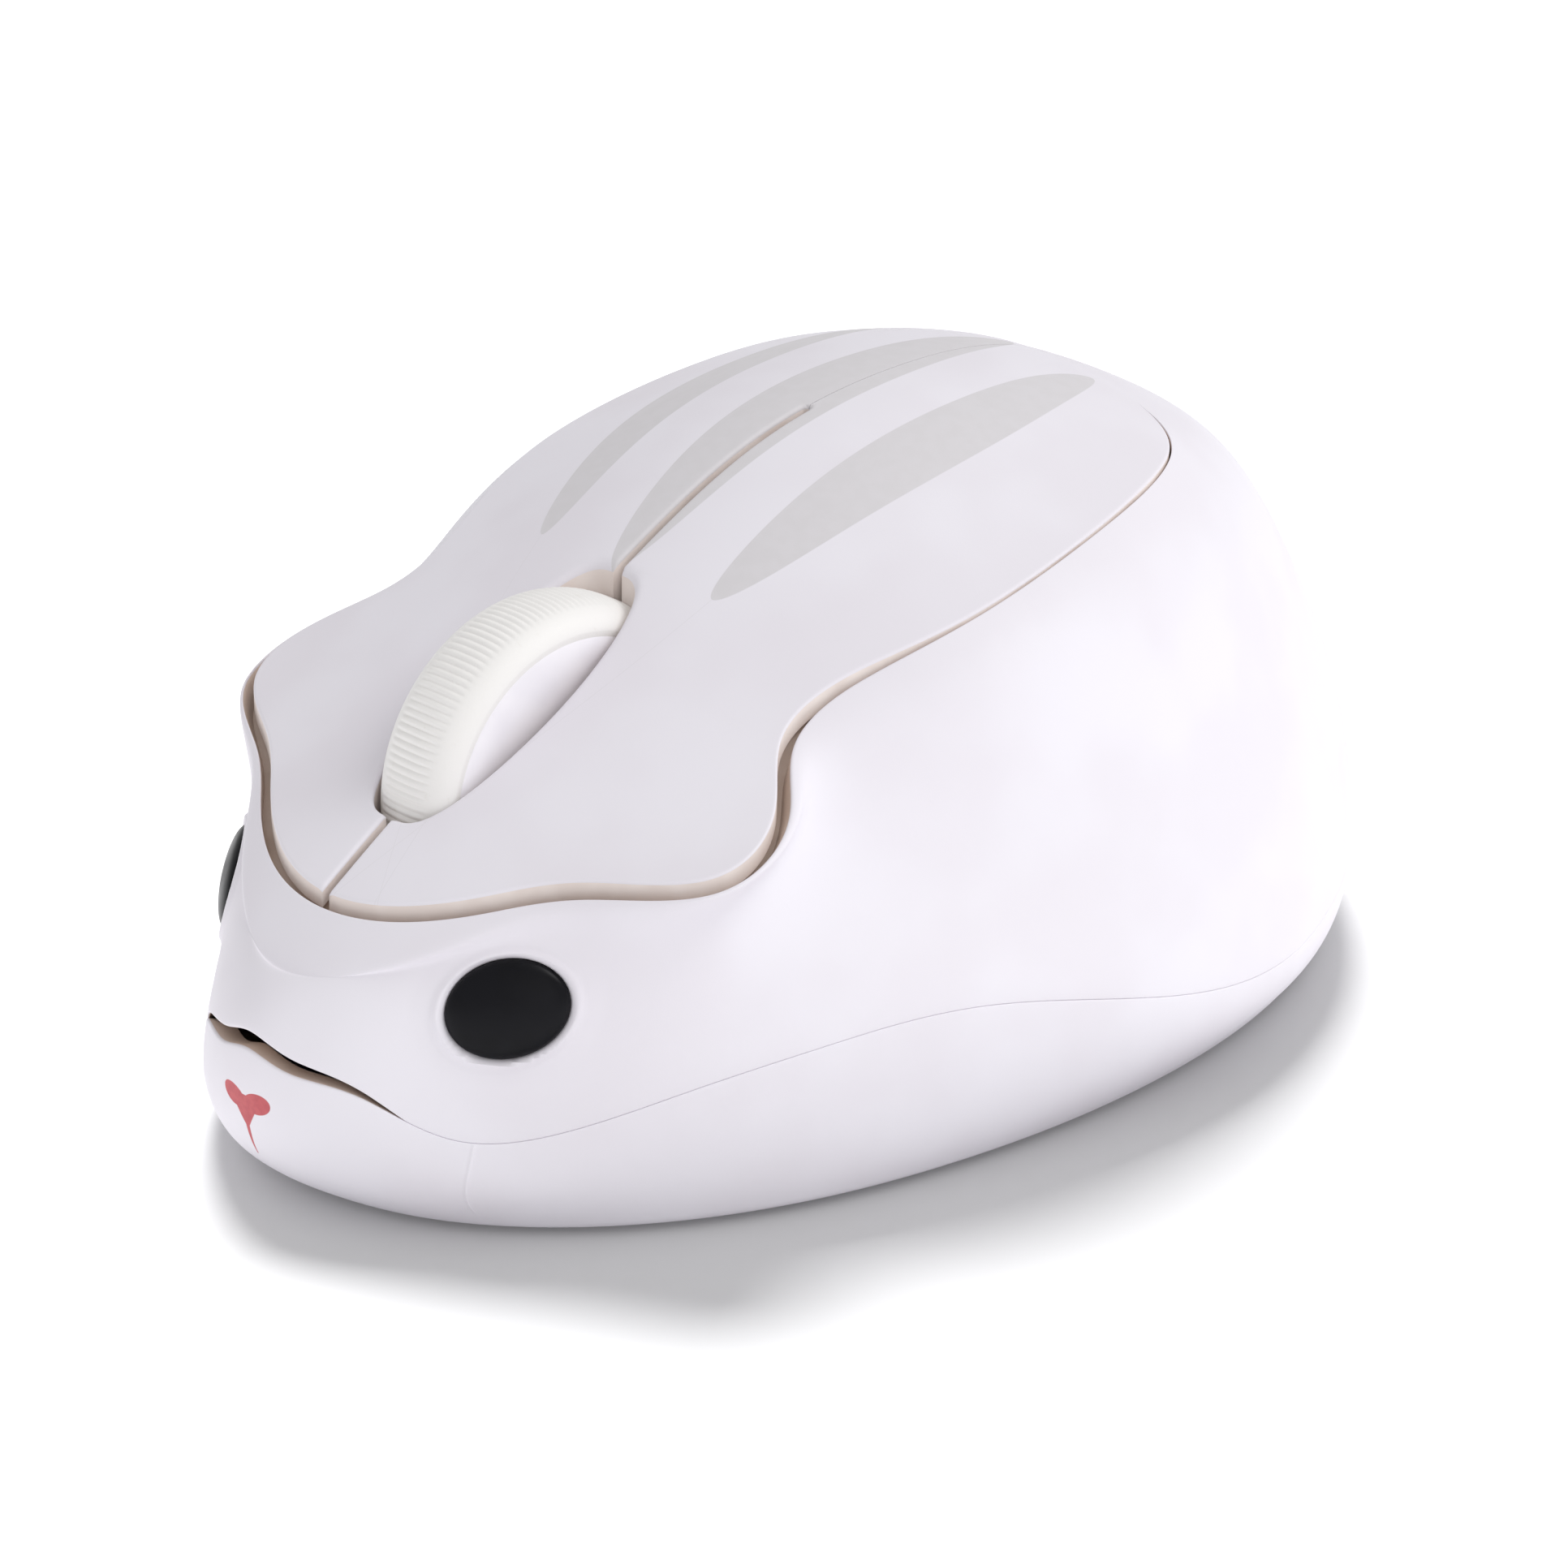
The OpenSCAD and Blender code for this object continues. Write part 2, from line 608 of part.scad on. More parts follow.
module board_screws() {
    color("silver") at_each(board_bosses) {
        translate([0, 0, board_top]) cylinder(r = 2, h = 1.2);
        translate([0, 0, board_top - 4.5]) cylinder(r = 0.9, h = 5);
    }
}

base_shell();
upper_shell();
palm_cover();
left_button();
right_button();
left_eye();
right_eye();
wheel_tyre();
wheel_hub();
main_board();
left_switch_body();
left_switch_plunger();
right_switch_body();
right_switch_plunger();
middle_switch_body();
middle_switch_plunger();
axle_cradle();
encoder_body();
encoder_rotor();
optical_sensor();
sensor_lens();
sensor_led();
led_clip();
control_chip();
crystal();
capacitors();
left_cell();
right_cell();
cell_springs();
cell_contacts();
battery_door();
power_switch_body();
power_switch_knob();
receiver_cap();
receiver_plug();
receiver_tongue();
feet();
base_screws();
board_screws();
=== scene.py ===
"""Hamster-shaped wireless mouse: the looks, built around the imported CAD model. Lengths are in
millimetres until a mesh is made. Nose towards -Y, back up, +X is the animal's left."""
import math

import bmesh
import bpy
import numpy as np
from mathutils import Matrix, Vector


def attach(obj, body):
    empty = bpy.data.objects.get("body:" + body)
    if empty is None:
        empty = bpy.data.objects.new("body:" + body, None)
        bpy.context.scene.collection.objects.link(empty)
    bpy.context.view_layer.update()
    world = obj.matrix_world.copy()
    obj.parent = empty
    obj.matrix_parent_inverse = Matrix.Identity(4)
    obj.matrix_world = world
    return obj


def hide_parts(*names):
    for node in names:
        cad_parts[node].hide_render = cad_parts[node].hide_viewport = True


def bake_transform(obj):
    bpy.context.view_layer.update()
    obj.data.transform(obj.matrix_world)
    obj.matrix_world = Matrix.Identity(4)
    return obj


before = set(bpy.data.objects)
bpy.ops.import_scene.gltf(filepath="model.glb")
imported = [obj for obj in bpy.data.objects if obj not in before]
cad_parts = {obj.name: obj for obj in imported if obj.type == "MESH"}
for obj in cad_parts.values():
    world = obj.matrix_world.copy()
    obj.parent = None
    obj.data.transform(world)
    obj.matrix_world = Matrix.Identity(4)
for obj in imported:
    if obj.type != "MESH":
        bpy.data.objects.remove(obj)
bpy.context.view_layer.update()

MM = 0.001
SHAPE_SCALE = 0.01  # texture coordinates run in units of 100 mm

# ---------------------------------------------------------------- curves, as in the CAD source


def basis(u):
    """The four weights of a uniform cubic B-spline."""
    return np.stack([(1 - u) ** 3, 3*u**3 - 6*u**2 + 4, -3*u**3 + 3*u**2 + 3*u + 1, u**3], -1) / 6


def cells(s, count):
    """The span each parameter falls in and its weights."""
    i = np.clip(np.floor(s).astype(int), 0, count - 2)
    return i, basis(s - i)


def straight(c):
    """Control values with each end carried on straight."""
    return np.concatenate([[2*c[0] - c[1]], c, [2*c[-1] - c[-2]]])


def mirrored(c):
    """Control points with each end mirrored over x = 0."""
    flip = np.array([-1.0, 1.0, 1.0])
    return np.concatenate([[c[1]*flip], c, [c[-2]*flip]])


def bend(c, s):
    c = np.asarray(c, float)
    i, b = cells(s, len(c))
    p = straight(c)
    return sum(b[..., k]*p[i + k] for k in range(4))


def curve(c, s):
    i, b = cells(s, len(c))
    p = mirrored(c)
    return sum(b[..., k, None]*p[i + k] for k in range(4))


# PROFILE_Z, CROWN, the eggs in make_net and the lists from SEAM_Z to NECK_IN began as the output
# of a least-squares solver and were rounded: they are data, not a design.
PROFILE_Y = (-53.0, 57.0)
PROFILE_Z = [14.5, 26, 35, 44.5, 46.6, 45.5, 33.4, 12]
CROWN = [0.004, 0.012, 0.018, 0.010, 0.015]
CROWN_FLAT = 1.1


def along(c, y):
    u = np.clip((y - PROFILE_Y[0])/(PROFILE_Y[1] - PROFILE_Y[0]), 0, 1)
    return bend(c, (len(c) - 1)*u)


def top_z(x, y):
    """Height of the animal's back over (x, y)."""
    return along(PROFILE_Z, y) - along(CROWN, y)*x*x + CROWN_FLAT*(x/20)**4


# ---------------------------------------------------------------- net of outlines
ANGLES = np.radians([0, 8, 17, 26, 36, 45, 54, 66, 85, 108, 132, 157, 180])
LAST = len(ANGLES) - 1


def egg(half_w, front, rear, widest, blunt, z):
    """A row of points round half an egg-shaped outline, from the nose to the tail."""
    c, s = np.cos(ANGLES), np.abs(np.sin(ANGLES))**blunt
    reach = np.where(c > 0, -(widest - front), rear - widest)
    return np.stack([half_w*s, widest + reach*np.abs(c)**blunt, z + 0*c], -1)


SEAM_Z = np.array([14.2, 11.3, 11.7, 4.9, 7.1, 11.1, 13.7, 16.1, 8, 5.2, 8.3, 7.2, 8.8])
COVER_EDGE = np.array([
    [0, -43.7, 0], [6, -42.4, 0], [11.3, -39, 0], [15.5, -34.8, 0], [25.3, -30.6, 0],
    [23.6, -23.6, 0], [18.3, -20.6, 0], [19, -14.4, 0], [22.9, -6, 0], [21.9, 8, 0],
    [18.2, 20.9, 0], [10.8, 23.8, 0], [0, 23.4, 0]], float)
LIP_GAP = np.array([0.65, 0.7, 0.65, 0.7, 0.9, 1.05, 0.8, 0.35] + [0.15]*5)
LIP_DROP = np.array([0.2, 0.3, 0.5, 0.5, 0.4, 0.7, 0.7, 0.4, -0.4, -0.3, -0.4, 0, -0.5])
LIP_W = np.array([3.7, 2.6, 1.5, 0.6, 0.5, 1.1, 2.1, 3.2, 4, 3.8, 5.6, 9.3, 10])
LIP_FALL = np.array([1.9, 1.5, 1, 0.6, 0.6, 1.1, 1.4, 1.4, 1.8, 0.4, 4.4, -2.9, -1.7])
NECK_IN = np.array([0, 0.6, 1.1, 1.4, 1.4, 1, 0.5, 0, 0, -0.3, 0.5, -1.3, -0.3])


def outward():
    """Level direction away from the cover at each point of its edge."""
    p = mirrored(COVER_EDGE)
    d = p[2:] - p[:-2]
    d /= np.linalg.norm(d, axis=1)[:, None]
    return np.stack([d[:, 1], -d[:, 0], 0*d[:, 0]], -1)


def edge_row(gap, drop):
    p = COVER_EDGE + outward()*gap[:, None]
    p[[0, LAST], 0] = 0
    p[:, 2] = top_z(p[:, 0], p[:, 1]) - drop
    return p


def make_net():
    cheek = egg(32, -48, 51.2, 9.4, 1.13, 17.2)
    lip_out = edge_row(LIP_GAP + LIP_W, LIP_FALL)
    neck = (cheek + lip_out)/2 - NECK_IN[:, None]*outward()
    rows = [egg(29.6, -45.5, 49, 4, 0.96, 0.5), egg(32.2, -50.7, 51.4, 8, 1.1, 3.4),
            egg(34.3, -51.2, 52.3, 11, 1.19, SEAM_Z), cheek, neck, lip_out,
            edge_row(LIP_GAP, LIP_DROP)]
    return np.stack([mirrored(r) for r in straight(np.stack(rows))])


NET = make_net()
SEAM_T, LIP_T = 2.0, 6.0
WALL = 1.8


def skin(t, s):
    """Points of the outer skin: t runs up the side and s round from the nose to the tail."""
    t, s = np.broadcast_arrays(np.asarray(t, float), np.asarray(s, float))
    i, bt = cells(t, NET.shape[0] - 2)
    j, bs = cells(s, NET.shape[1] - 2)
    return sum((bt[..., a]*bs[..., b])[..., None]*NET[i + a, j + b]
               for a in range(4) for b in range(4))


def skin_normal(t, s, e=0.02):
    n = np.cross(skin(t, s + e) - skin(t, s - e), skin(t + e, s) - skin(t - e, s))
    return n/np.linalg.norm(n, axis=-1, keepdims=True)


def steps_for(t, s, distance):
    """How far t has to run for the skin to cover a distance."""
    return distance/np.linalg.norm(skin(t + 0.01, s) - skin(t - 0.01, s), axis=-1)*0.02


def smooth(a, b, v):
    u = np.clip((v - a)/(b - a), 0, 1)
    return u*u*(3 - 2*u)


def spread(low, high, count, bands):
    """Parameters from low to high, closer together in bands (from, to, how much closer)."""
    fine = np.linspace(low, high, 4000)
    weight = np.ones_like(fine)
    for a, b, more in bands:
        weight += more*smooth(a - 0.15, a, fine)*(1 - smooth(b, b + 0.15, fine))
    total = np.concatenate([[0], np.cumsum((weight[1:] + weight[:-1])/2)])
    return np.interp(np.linspace(0, total[-1], count), total, fine)


# ---------------------------------------------------------------- mesh tools


def mesh_object(name, points, faces, uv=None, sharp=38.0, kinds=None):
    """A mesh object from points in millimetres and faces, smooth but for its sharp edges.

    kinds numbers the material of each face."""
    data = bpy.data.meshes.new(name)
    data.from_pydata((np.asarray(points)*MM).tolist(), [], [list(f) for f in faces])
    if uv is not None:
        layer = data.uv_layers.new(name="shape")
        layer.data.foreach_set("uv", np.asarray(uv, np.float32).ravel())
    if kinds is not None:
        data.polygons.foreach_set("material_index", np.asarray(kinds, np.int32))
    ob = bpy.data.objects.new(name, data)
    bpy.context.scene.collection.objects.link(ob)
    tidy_mesh(ob, sharp)
    return ob


def tidy_mesh(ob, sharp=38.0):
    """Joins doubled points, turns the faces outwards and marks the sharp edges."""
    bm = bmesh.new()
    bm.from_mesh(ob.data)
    bmesh.ops.remove_doubles(bm, verts=bm.verts, dist=2e-6)
    bmesh.ops.dissolve_degenerate(bm, edges=bm.edges, dist=1e-7)
    bmesh.ops.recalc_face_normals(bm, faces=bm.faces)
    limit = math.radians(sharp)
    for f in bm.faces:
        f.smooth = True
    for e in bm.edges:
        e.smooth = len(e.link_faces) != 2 or e.calc_face_angle(0) < limit
    bm.to_mesh(ob.data)
    bm.free()


def grid_faces(rows, cols, wrap_cols=False, wrap_rows=False, start=0):
    """Quads between the points of a grid stored row by row."""
    r = np.arange(rows if wrap_rows else rows - 1)
    c = np.arange(cols if wrap_cols else cols - 1)
    r, c = [v.ravel() for v in np.meshgrid(r, c, indexing="ij")]
    r2, c2 = (r + 1) % rows, (c + 1) % cols
    return start + np.stack([r*cols + c, r*cols + c2, r2*cols + c2, r2*cols + c], -1)


def round_corner(a, corner, b, count):
    """Rows that turn a corner from a to b, leaving out both ends."""
    u = np.linspace(0, 1, count + 2)[1:-1, None, None]
    return (1 - u)**2*a + 2*u*(1 - u)*corner + u*u*b


def prism(outline, z0, z1, flare=0.0):
    """A closed upright block over an outline, its lower rim flared outwards for a chamfer."""
    p = np.asarray(outline, float)
    n = len(p)
    mid = (p.min(0) + p.max(0))/2
    wide = p + np.sign(p - mid)*flare
    levels = [(wide, z0)] + ([(wide, -0.5 + 1.0), (p, 0.5 + flare)] if flare else []) + [(p, z1)]
    points = np.concatenate([np.column_stack([q, np.full(n, z)]) for q, z in levels])
    faces = grid_faces(len(levels), n, wrap_cols=True).tolist()
    top = (len(levels) - 1)*n
    return points, faces + [list(range(n))[::-1], list(range(top, top + n))]


def merged(parts):
    """Several (points, faces) as one."""
    points, faces, start = [], [], 0
    for p, f in parts:
        points.append(np.asarray(p, float))
        faces += [[start + k for k in face] for face in f]
        start += len(p)
    return np.concatenate(points), faces


def rectangle(x0, x1, y0, y1, r=0.0, steps=5):
    """Corner points of a rectangle, rounded by r."""
    if not r:
        return [(x0, y0), (x1, y0), (x1, y1), (x0, y1)]
    out = []
    for cx, cy, start in ((x1 - r, y0 + r, -90), (x1 - r, y1 - r, 0),
                          (x0 + r, y1 - r, 90), (x0 + r, y0 + r, 180)):
        for k in range(steps + 1):
            a = math.radians(start + 90*k/steps)
            out.append((cx + r*math.cos(a), cy + r*math.sin(a)))
    return out


def circle(x, y, r, count=48):
    a = np.linspace(0, 2*math.pi, count, endpoint=False)
    return np.column_stack([x + r*np.cos(a), y + r*np.sin(a)])


def cut(ob, cutter, how="DIFFERENCE"):
    """Applies a boolean with another object, which is then removed."""
    m = ob.modifiers.new("cut", "BOOLEAN")
    m.operation, m.object, m.solver = how, cutter, "EXACT"
    apply_modifiers(ob)
    bpy.data.objects.remove(cutter)


def apply_modifiers(ob):
    graph = bpy.context.evaluated_depsgraph_get()
    data = bpy.data.meshes.new_from_object(ob.evaluated_get(graph))
    ob.modifiers.clear()
    ob.data = data


def lathe(name, profile, turns, centre, wave=None):
    """Turns a profile of (radius, x) about the X axis through centre; wave(angle, x) is taken
    off the radius."""
    r, x = np.asarray(profile, float).T
    a = np.linspace(0, 2*math.pi, turns, endpoint=False)[:, None]
    rr = r[None] - (wave(a, x[None]) if wave else 0)
    points = np.stack([x[None] + 0*a, rr*np.cos(a), rr*np.sin(a)], -1).reshape(-1, 3)
    return mesh_object(name, points + np.array(centre), grid_faces(turns, len(r), True, True))


# ---------------------------------------------------------------- materials


class Tree:
    """Short names for building a shader."""

    def __init__(self, name):
        self.material = bpy.data.materials.new(name)
        self.material.use_nodes = True
        self.nodes = self.material.node_tree.nodes
        self.links = self.material.node_tree.links
        self.shader = self.nodes["Principled BSDF"]

    def put(self, value, socket):
        if isinstance(value, bpy.types.NodeSocket):
            self.links.new(value, socket)
        else:
            socket.default_value = value

    def add(self, kind, output=0, settings=None, **values):
        node = self.nodes.new(kind)
        for k, v in (settings or {}).items():
            setattr(node, k, v)
        for k, v in values.items():
            self.put(v, node.inputs[int(k[1:])] if k[0] == "i" and k[1:].isdigit()
                     else node.inputs[k.replace("_", " ")])
        return node.outputs[output]

    def math(self, how, a, b=0.0, c=0.0):
        return self.add("ShaderNodeMath", 0, {"operation": how}, i0=a, i1=b, i2=c)

    def mix(self, share, a, b):
        node = self.nodes.new("ShaderNodeMix")
        node.data_type = "RGBA"
        for value, k in ((share, 0), (a, 6), (b, 7)):
            self.put(value, node.inputs[k])
        return node.outputs[2]

    def ramp(self, value, low, high, to_low=0.0, to_high=1.0):
        return self.add("ShaderNodeMapRange", 0, {"interpolation_type": "SMOOTHSTEP"},
                        i0=value, i1=low, i2=high, i3=to_low, i4=to_high)

    def place(self):
        return self.add("ShaderNodeTexCoord", 3)

    def noise(self, per_mm, detail=3.0, rough=0.5, where=None):
        """Cloudy noise, with its grain size given as cycles per millimetre."""
        return self.add("ShaderNodeTexNoise", 0, None, Vector=where or self.place(),
                        Scale=per_mm/MM, Detail=detail, Roughness=rough)

    def bump(self, height, depth_mm, under=None):
        values = dict(Strength=1.0, Distance=depth_mm*MM, Height=height)
        if under is not None:
            values["Normal"] = under
        return self.add("ShaderNodeBump", 0, None, **values)

    def finish(self, colour, rough, normal=None, **rest):
        self.put(colour, self.shader.inputs["Base Color"])
        self.put(rough, self.shader.inputs["Roughness"])
        if normal is not None:
            self.put(normal, self.shader.inputs["Normal"])
        for k, v in rest.items():
            self.put(v, self.shader.inputs[k.replace("_", " ")])
        return self.material


def rgb(r, g, b):
    """A colour as it looks on screen, from 0 to 255, for a shader socket."""
    def linear(v):
        v /= 255
        return v/12.92 if v < 0.04045 else ((v + 0.055)/1.055)**2.4
    return (linear(r), linear(g), linear(b), 1.0)


def moulded(t, tint, dark, depth=0.004, grain=9.0, low=0.56, high=0.64, clouds=0.08):
    """Colour, roughness and normal of spark-eroded moulded plastic."""
    blotch = t.ramp(t.noise(clouds, 2.0), 0.35, 0.65)
    colour = t.mix(blotch, dark, tint)
    fine = t.noise(grain, 4.0, 0.6)
    rough = t.ramp(t.noise(0.5, 3.0), 0.3, 0.7, low, high)
    return colour, rough, t.bump(fine, depth)


WHITE, WHITE_DARK = rgb(236, 233, 240), rgb(232, 228, 235)
PALE_GREY = rgb(216, 213, 216)


def plan(t):
    """x and y (or z) in millimetres from the shape's own texture coordinates."""
    uv = t.add("ShaderNodeUVMap", 0, {"uv_map": "shape"})
    split = t.nodes.new("ShaderNodeSeparateXYZ")
    t.links.new(uv, split.inputs[0])
    return [t.math("MULTIPLY", t.math("SUBTRACT", split.outputs[k], 0.5), 1/SHAPE_SCALE/0.5)
            for k in (0, 1)]


# front y, rear y, widest half width, then x of the middle line at the front, middle and rear
STRIPES = ((-17.2, 22.6, 3.3, -0.3, -1.6, -0.9), (-16.0, 22.4, 2.7, 8.2, 9.4, 7.3),
           (-16.0, 22.4, 2.3, -9.0, -12.8, -11.6))
STRIPE_BLUNT = 0.53


def stripe_mask(t, x, y, front, rear, half_w, x0, x1, x2):
    """1 inside a printed lens-shaped stripe."""
    v = t.math("DIVIDE", t.math("SUBTRACT", y, front), rear - front)
    bow = 2*x0 - 4*x1 + 2*x2
    slope = 4*x1 - 3*x0 - x2
    middle = t.math("MULTIPLY_ADD", t.math("MULTIPLY_ADD", v, bow, slope), v, x0)
    hump = t.math("MAXIMUM", t.math("MULTIPLY", v, t.math("SUBTRACT", 1.0, v)), 0.0)
    width = t.math("MULTIPLY", t.math("POWER", hump, STRIPE_BLUNT), half_w*4**STRIPE_BLUNT)
    off = t.math("ABSOLUTE", t.math("SUBTRACT", x, middle))
    return t.ramp(t.math("SUBTRACT", width, off), -0.05, 0.06)


def cover_material():
    t = Tree("cover_white")
    x, y = plan(t)
    colour, rough, normal = moulded(t, WHITE, WHITE_DARK)
    mask = None
    for stripe in STRIPES:
        one = stripe_mask(t, x, y, *stripe)
        mask = one if mask is None else t.math("MAXIMUM", mask, one)
    speck = t.ramp(t.noise(0.9, 2.0), 0.3, 0.7, 0.9, 1.0)
    colour = t.mix(t.math("MULTIPLY", mask, speck), colour, PALE_GREY)
    return t.finish(colour, rough, normal, Specular_IOR_Level=0.35)


NOSE_Z, NOSE_SIZE = 8.3, 1.25


def nose_mask(t, x, z):
    """1 inside the printed nose: two lobes, a point below them and a thin line down."""
    ax = t.math("DIVIDE", t.math("ABSOLUTE", x), NOSE_SIZE)
    up = t.math("DIVIDE", t.math("SUBTRACT", z, NOSE_Z), NOSE_SIZE)

    def oval(cx, cz, rx, rz, lean):
        dx, dz = t.math("SUBTRACT", ax, cx), t.math("SUBTRACT", up, cz)
        c, s = math.cos(math.radians(lean)), math.sin(math.radians(lean))
        a = t.math("MULTIPLY_ADD", dx, c/rx, t.math("MULTIPLY", dz, s/rx))
        b = t.math("MULTIPLY_ADD", dx, -s/rz, t.math("MULTIPLY", dz, c/rz))
        return t.math("SUBTRACT", 1.0, t.math("SQRT", t.math(
            "ADD", t.math("MULTIPLY", a, a), t.math("MULTIPLY", b, b))))
    lobe = oval(0.92, 0.15, 1.0, 0.62, 12)
    wedge = t.math("MULTIPLY_ADD", up, 0.62, t.math("SUBTRACT", 1.05, ax))
    wedge = t.math("MINIMUM", wedge, t.math("SUBTRACT", 0.45, up))
    tail_w = t.ramp(up, -3.6, -1.2, 0.05, 0.16)
    tail = t.math("MINIMUM", t.math("SUBTRACT", tail_w, ax),
                  t.math("MINIMUM", t.math("ADD", up, 3.35), t.math("SUBTRACT", 0.0, up)))
    shape = t.math("MAXIMUM", t.math("MAXIMUM", lobe, wedge), tail)
    return t.ramp(shape, -0.03, 0.04)


def shell_material(name, nose):
    t = Tree(name)
    colour, rough, normal = moulded(t, WHITE, WHITE_DARK)
    if nose:
        x, z = plan(t)
        ink = t.mix(t.ramp(t.noise(2.0, 2.0), 0.3, 0.7), rgb(192, 92, 98), rgb(202, 100, 105))
        colour = t.mix(nose_mask(t, x, z), colour, ink)
    return t.finish(colour, rough, normal, Specular_IOR_Level=0.35)


def plastic_material(name, tint, dark, low, high, grain=8.0, depth=0.004, **rest):
    t = Tree(name)
    colour, rough, normal = moulded(t, tint, dark, depth, grain, low, high, 0.3)
    return t.finish(colour, rough, normal, **rest)


def rubber_material():
    t = Tree("tyre_rubber")
    dust = t.ramp(t.noise(1.1, 4.0, 0.6), 0.62, 0.8)
    colour = t.mix(dust, rgb(243, 241, 239), rgb(236, 233, 229))
    fine = t.noise(6.0, 4.0, 0.7)
    return t.finish(colour, t.ramp(fine, 0.3, 0.7, 0.5, 0.66), t.bump(fine, 0.012))


def board_material():
    """Solder mask over copper tracks, with vias."""
    t = Tree("board_green")
    where = t.place()
    cell = t.add("ShaderNodeTexVoronoi", 0, {"distance": "CHEBYCHEV", "feature": "F1"},
                 Vector=where, Scale=420.0)
    track = t.ramp(cell, 0.46, 0.5)
    dots = t.ramp(t.add("ShaderNodeTexVoronoi", 0, None, Vector=where, Scale=230.0), 0.1, 0.12)
    colour = t.mix(track, rgb(24, 92, 58), rgb(34, 116, 72))
    colour = t.mix(dots, rgb(196, 176, 120), colour)
    return t.finish(colour, t.ramp(track, 0, 1, 0.3, 0.24), t.bump(track, 0.03))


def metal_material(name, tint, low, high, scratch=2.0):
    t = Tree(name)
    stretch = t.add("ShaderNodeMapping", 0, None, Vector=t.place(), Scale=(1, 6, 1))
    lines = t.noise(scratch, 5.0, 0.7, stretch)
    colour = t.mix(t.ramp(lines, 0.35, 0.7), tint, tuple(0.82*v for v in tint[:3]) + (1.0,))
    return t.finish(colour, t.ramp(lines, 0.3, 0.7, low, high), t.bump(lines, 0.004),
                    Metallic=1.0)


def cell_material():
    """Printed foil sleeve of an AAA cell: dark body and a copper band at the button end."""
    t = Tree("cell_wrap")
    split = t.nodes.new("ShaderNodeSeparateXYZ")
    t.links.new(t.place(), split.inputs[0])
    y = t.math("MULTIPLY", split.outputs[1], 1/MM)
    x = split.outputs[0]
    end = t.math("MULTIPLY", t.math("SUBTRACT", y, 20.7), t.math("SIGN", x))
    band = t.ramp(end, 10.5, 10.8)
    foil = t.noise(0.7, 3.0)
    colour = t.mix(band, rgb(38, 44, 58), rgb(196, 128, 74))
    metal = t.ramp(t.math("ABSOLUTE", end), 21.4, 21.5)
    colour = t.mix(metal, colour, rgb(205, 205, 208))
    rough = t.ramp(foil, 0.3, 0.7, 0.24, 0.34)
    return t.finish(colour, rough, t.bump(foil, 0.01), Metallic=0.35)


def glass_material(name, tint, rough):
    t = Tree(name)
    haze = t.noise(3.0, 3.0)
    return t.finish(tint, t.ramp(haze, 0.3, 0.7, rough, rough + 0.08), t.bump(haze, 0.003),
                    Transmission_Weight=0.85, IOR=1.49)


MAT = {
    "cover": cover_material(),
    "shell": shell_material("shell_white", False),
    "base": shell_material("base_white", True),
    "inner": plastic_material("inner_white", rgb(226, 222, 218), rgb(214, 208, 202), 0.4, 0.55),
    "eye": plastic_material("eye_black", rgb(15, 15, 20), rgb(11, 11, 15), 0.3, 0.4,
                            6.0, 0.003, Specular_IOR_Level=0.14),
    # The cover plates' walls and undersides take this: the white cover plastic tinted beige as
    # painted shade.
    "edge": plastic_material("cover_wall_painted_shade", rgb(238, 228, 223), rgb(230, 218, 212), 0.5, 0.62),
    # The shells' walls inside the gaps take this: white plastic tinted beige as painted shade and
    # warm bounced light.
    "gap": plastic_material("gap_painted_shade", rgb(226, 208, 196), rgb(214, 194, 180), 0.55, 0.7),
    "tyre": rubber_material(),
    "hub": plastic_material("hub_white", rgb(246, 243, 248), rgb(241, 238, 244), 0.16, 0.24,
                            5.0, 0.0015, Coat_Weight=0.5, Coat_Roughness=0.12),
    "board": board_material(),
    "black": plastic_material("black_plastic", rgb(34, 34, 36), rgb(24, 24, 26), 0.38, 0.55),
    "grey": plastic_material("grey_plastic", rgb(112, 113, 116), rgb(92, 93, 96), 0.4, 0.55),
    "feet": plastic_material("foot_grey", rgb(120, 121, 124), rgb(104, 105, 108), 0.3, 0.42,
                             3.0, 0.006),
    "lens": glass_material("clear_lens", rgb(235, 238, 240), 0.05),
    "led": glass_material("led_red", rgb(214, 40, 32), 0.08),
    "nickel": metal_material("nickel", rgb(205, 203, 198), 0.2, 0.36),
    "steel": metal_material("screw_steel", rgb(150, 150, 154), 0.28, 0.45, 4.0),
    "cell": cell_material(),
}


def dress(ob, *materials):
    kinds = np.zeros(len(ob.data.polygons), np.int32)
    ob.data.polygons.foreach_get("material_index", kinds)
    ob.data.materials.clear()
    for name in materials:
        ob.data.materials.append(MAT[name])
    ob.data.polygons.foreach_set("material_index", np.minimum(kinds, len(materials) - 1))
    return ob


# ---------------------------------------------------------------- eyes
EYE_A, EYE_B, EYE_BULGE = 4.2, 3.3, 1.1
EYE_AT = skin(3.1, 3.2)


def turn(axis, degrees):
    return np.array(Matrix.Rotation(math.radians(degrees), 3, axis))


EYE_AXES = turn("Z", 44) @ turn("X", 90 - 12) @ turn("Z", 17)


def eye_rim(p):
    """Moves the skin round an eye: sunk under the eye, with a soft raised rim round it."""
    q = (p - EYE_AT) @ EYE_AXES
    rho = np.hypot(q[..., 0]/EYE_A, q[..., 1]/EYE_B)
    near = np.abs(q[..., 2]) < 6
    level = 0.55*q[..., 2] + 0.10
    ring = 0.3*np.exp(-((rho - 1.13)/0.085)**2)
    bed = 0.75*(1 - smooth(0.94, 1.03, rho))
    target = level + ring - bed
    share = (1 - smooth(1.12, 1.62, rho))*near
    return p + ((target - q[..., 2])*share)[..., None]*EYE_AXES[:, 2]


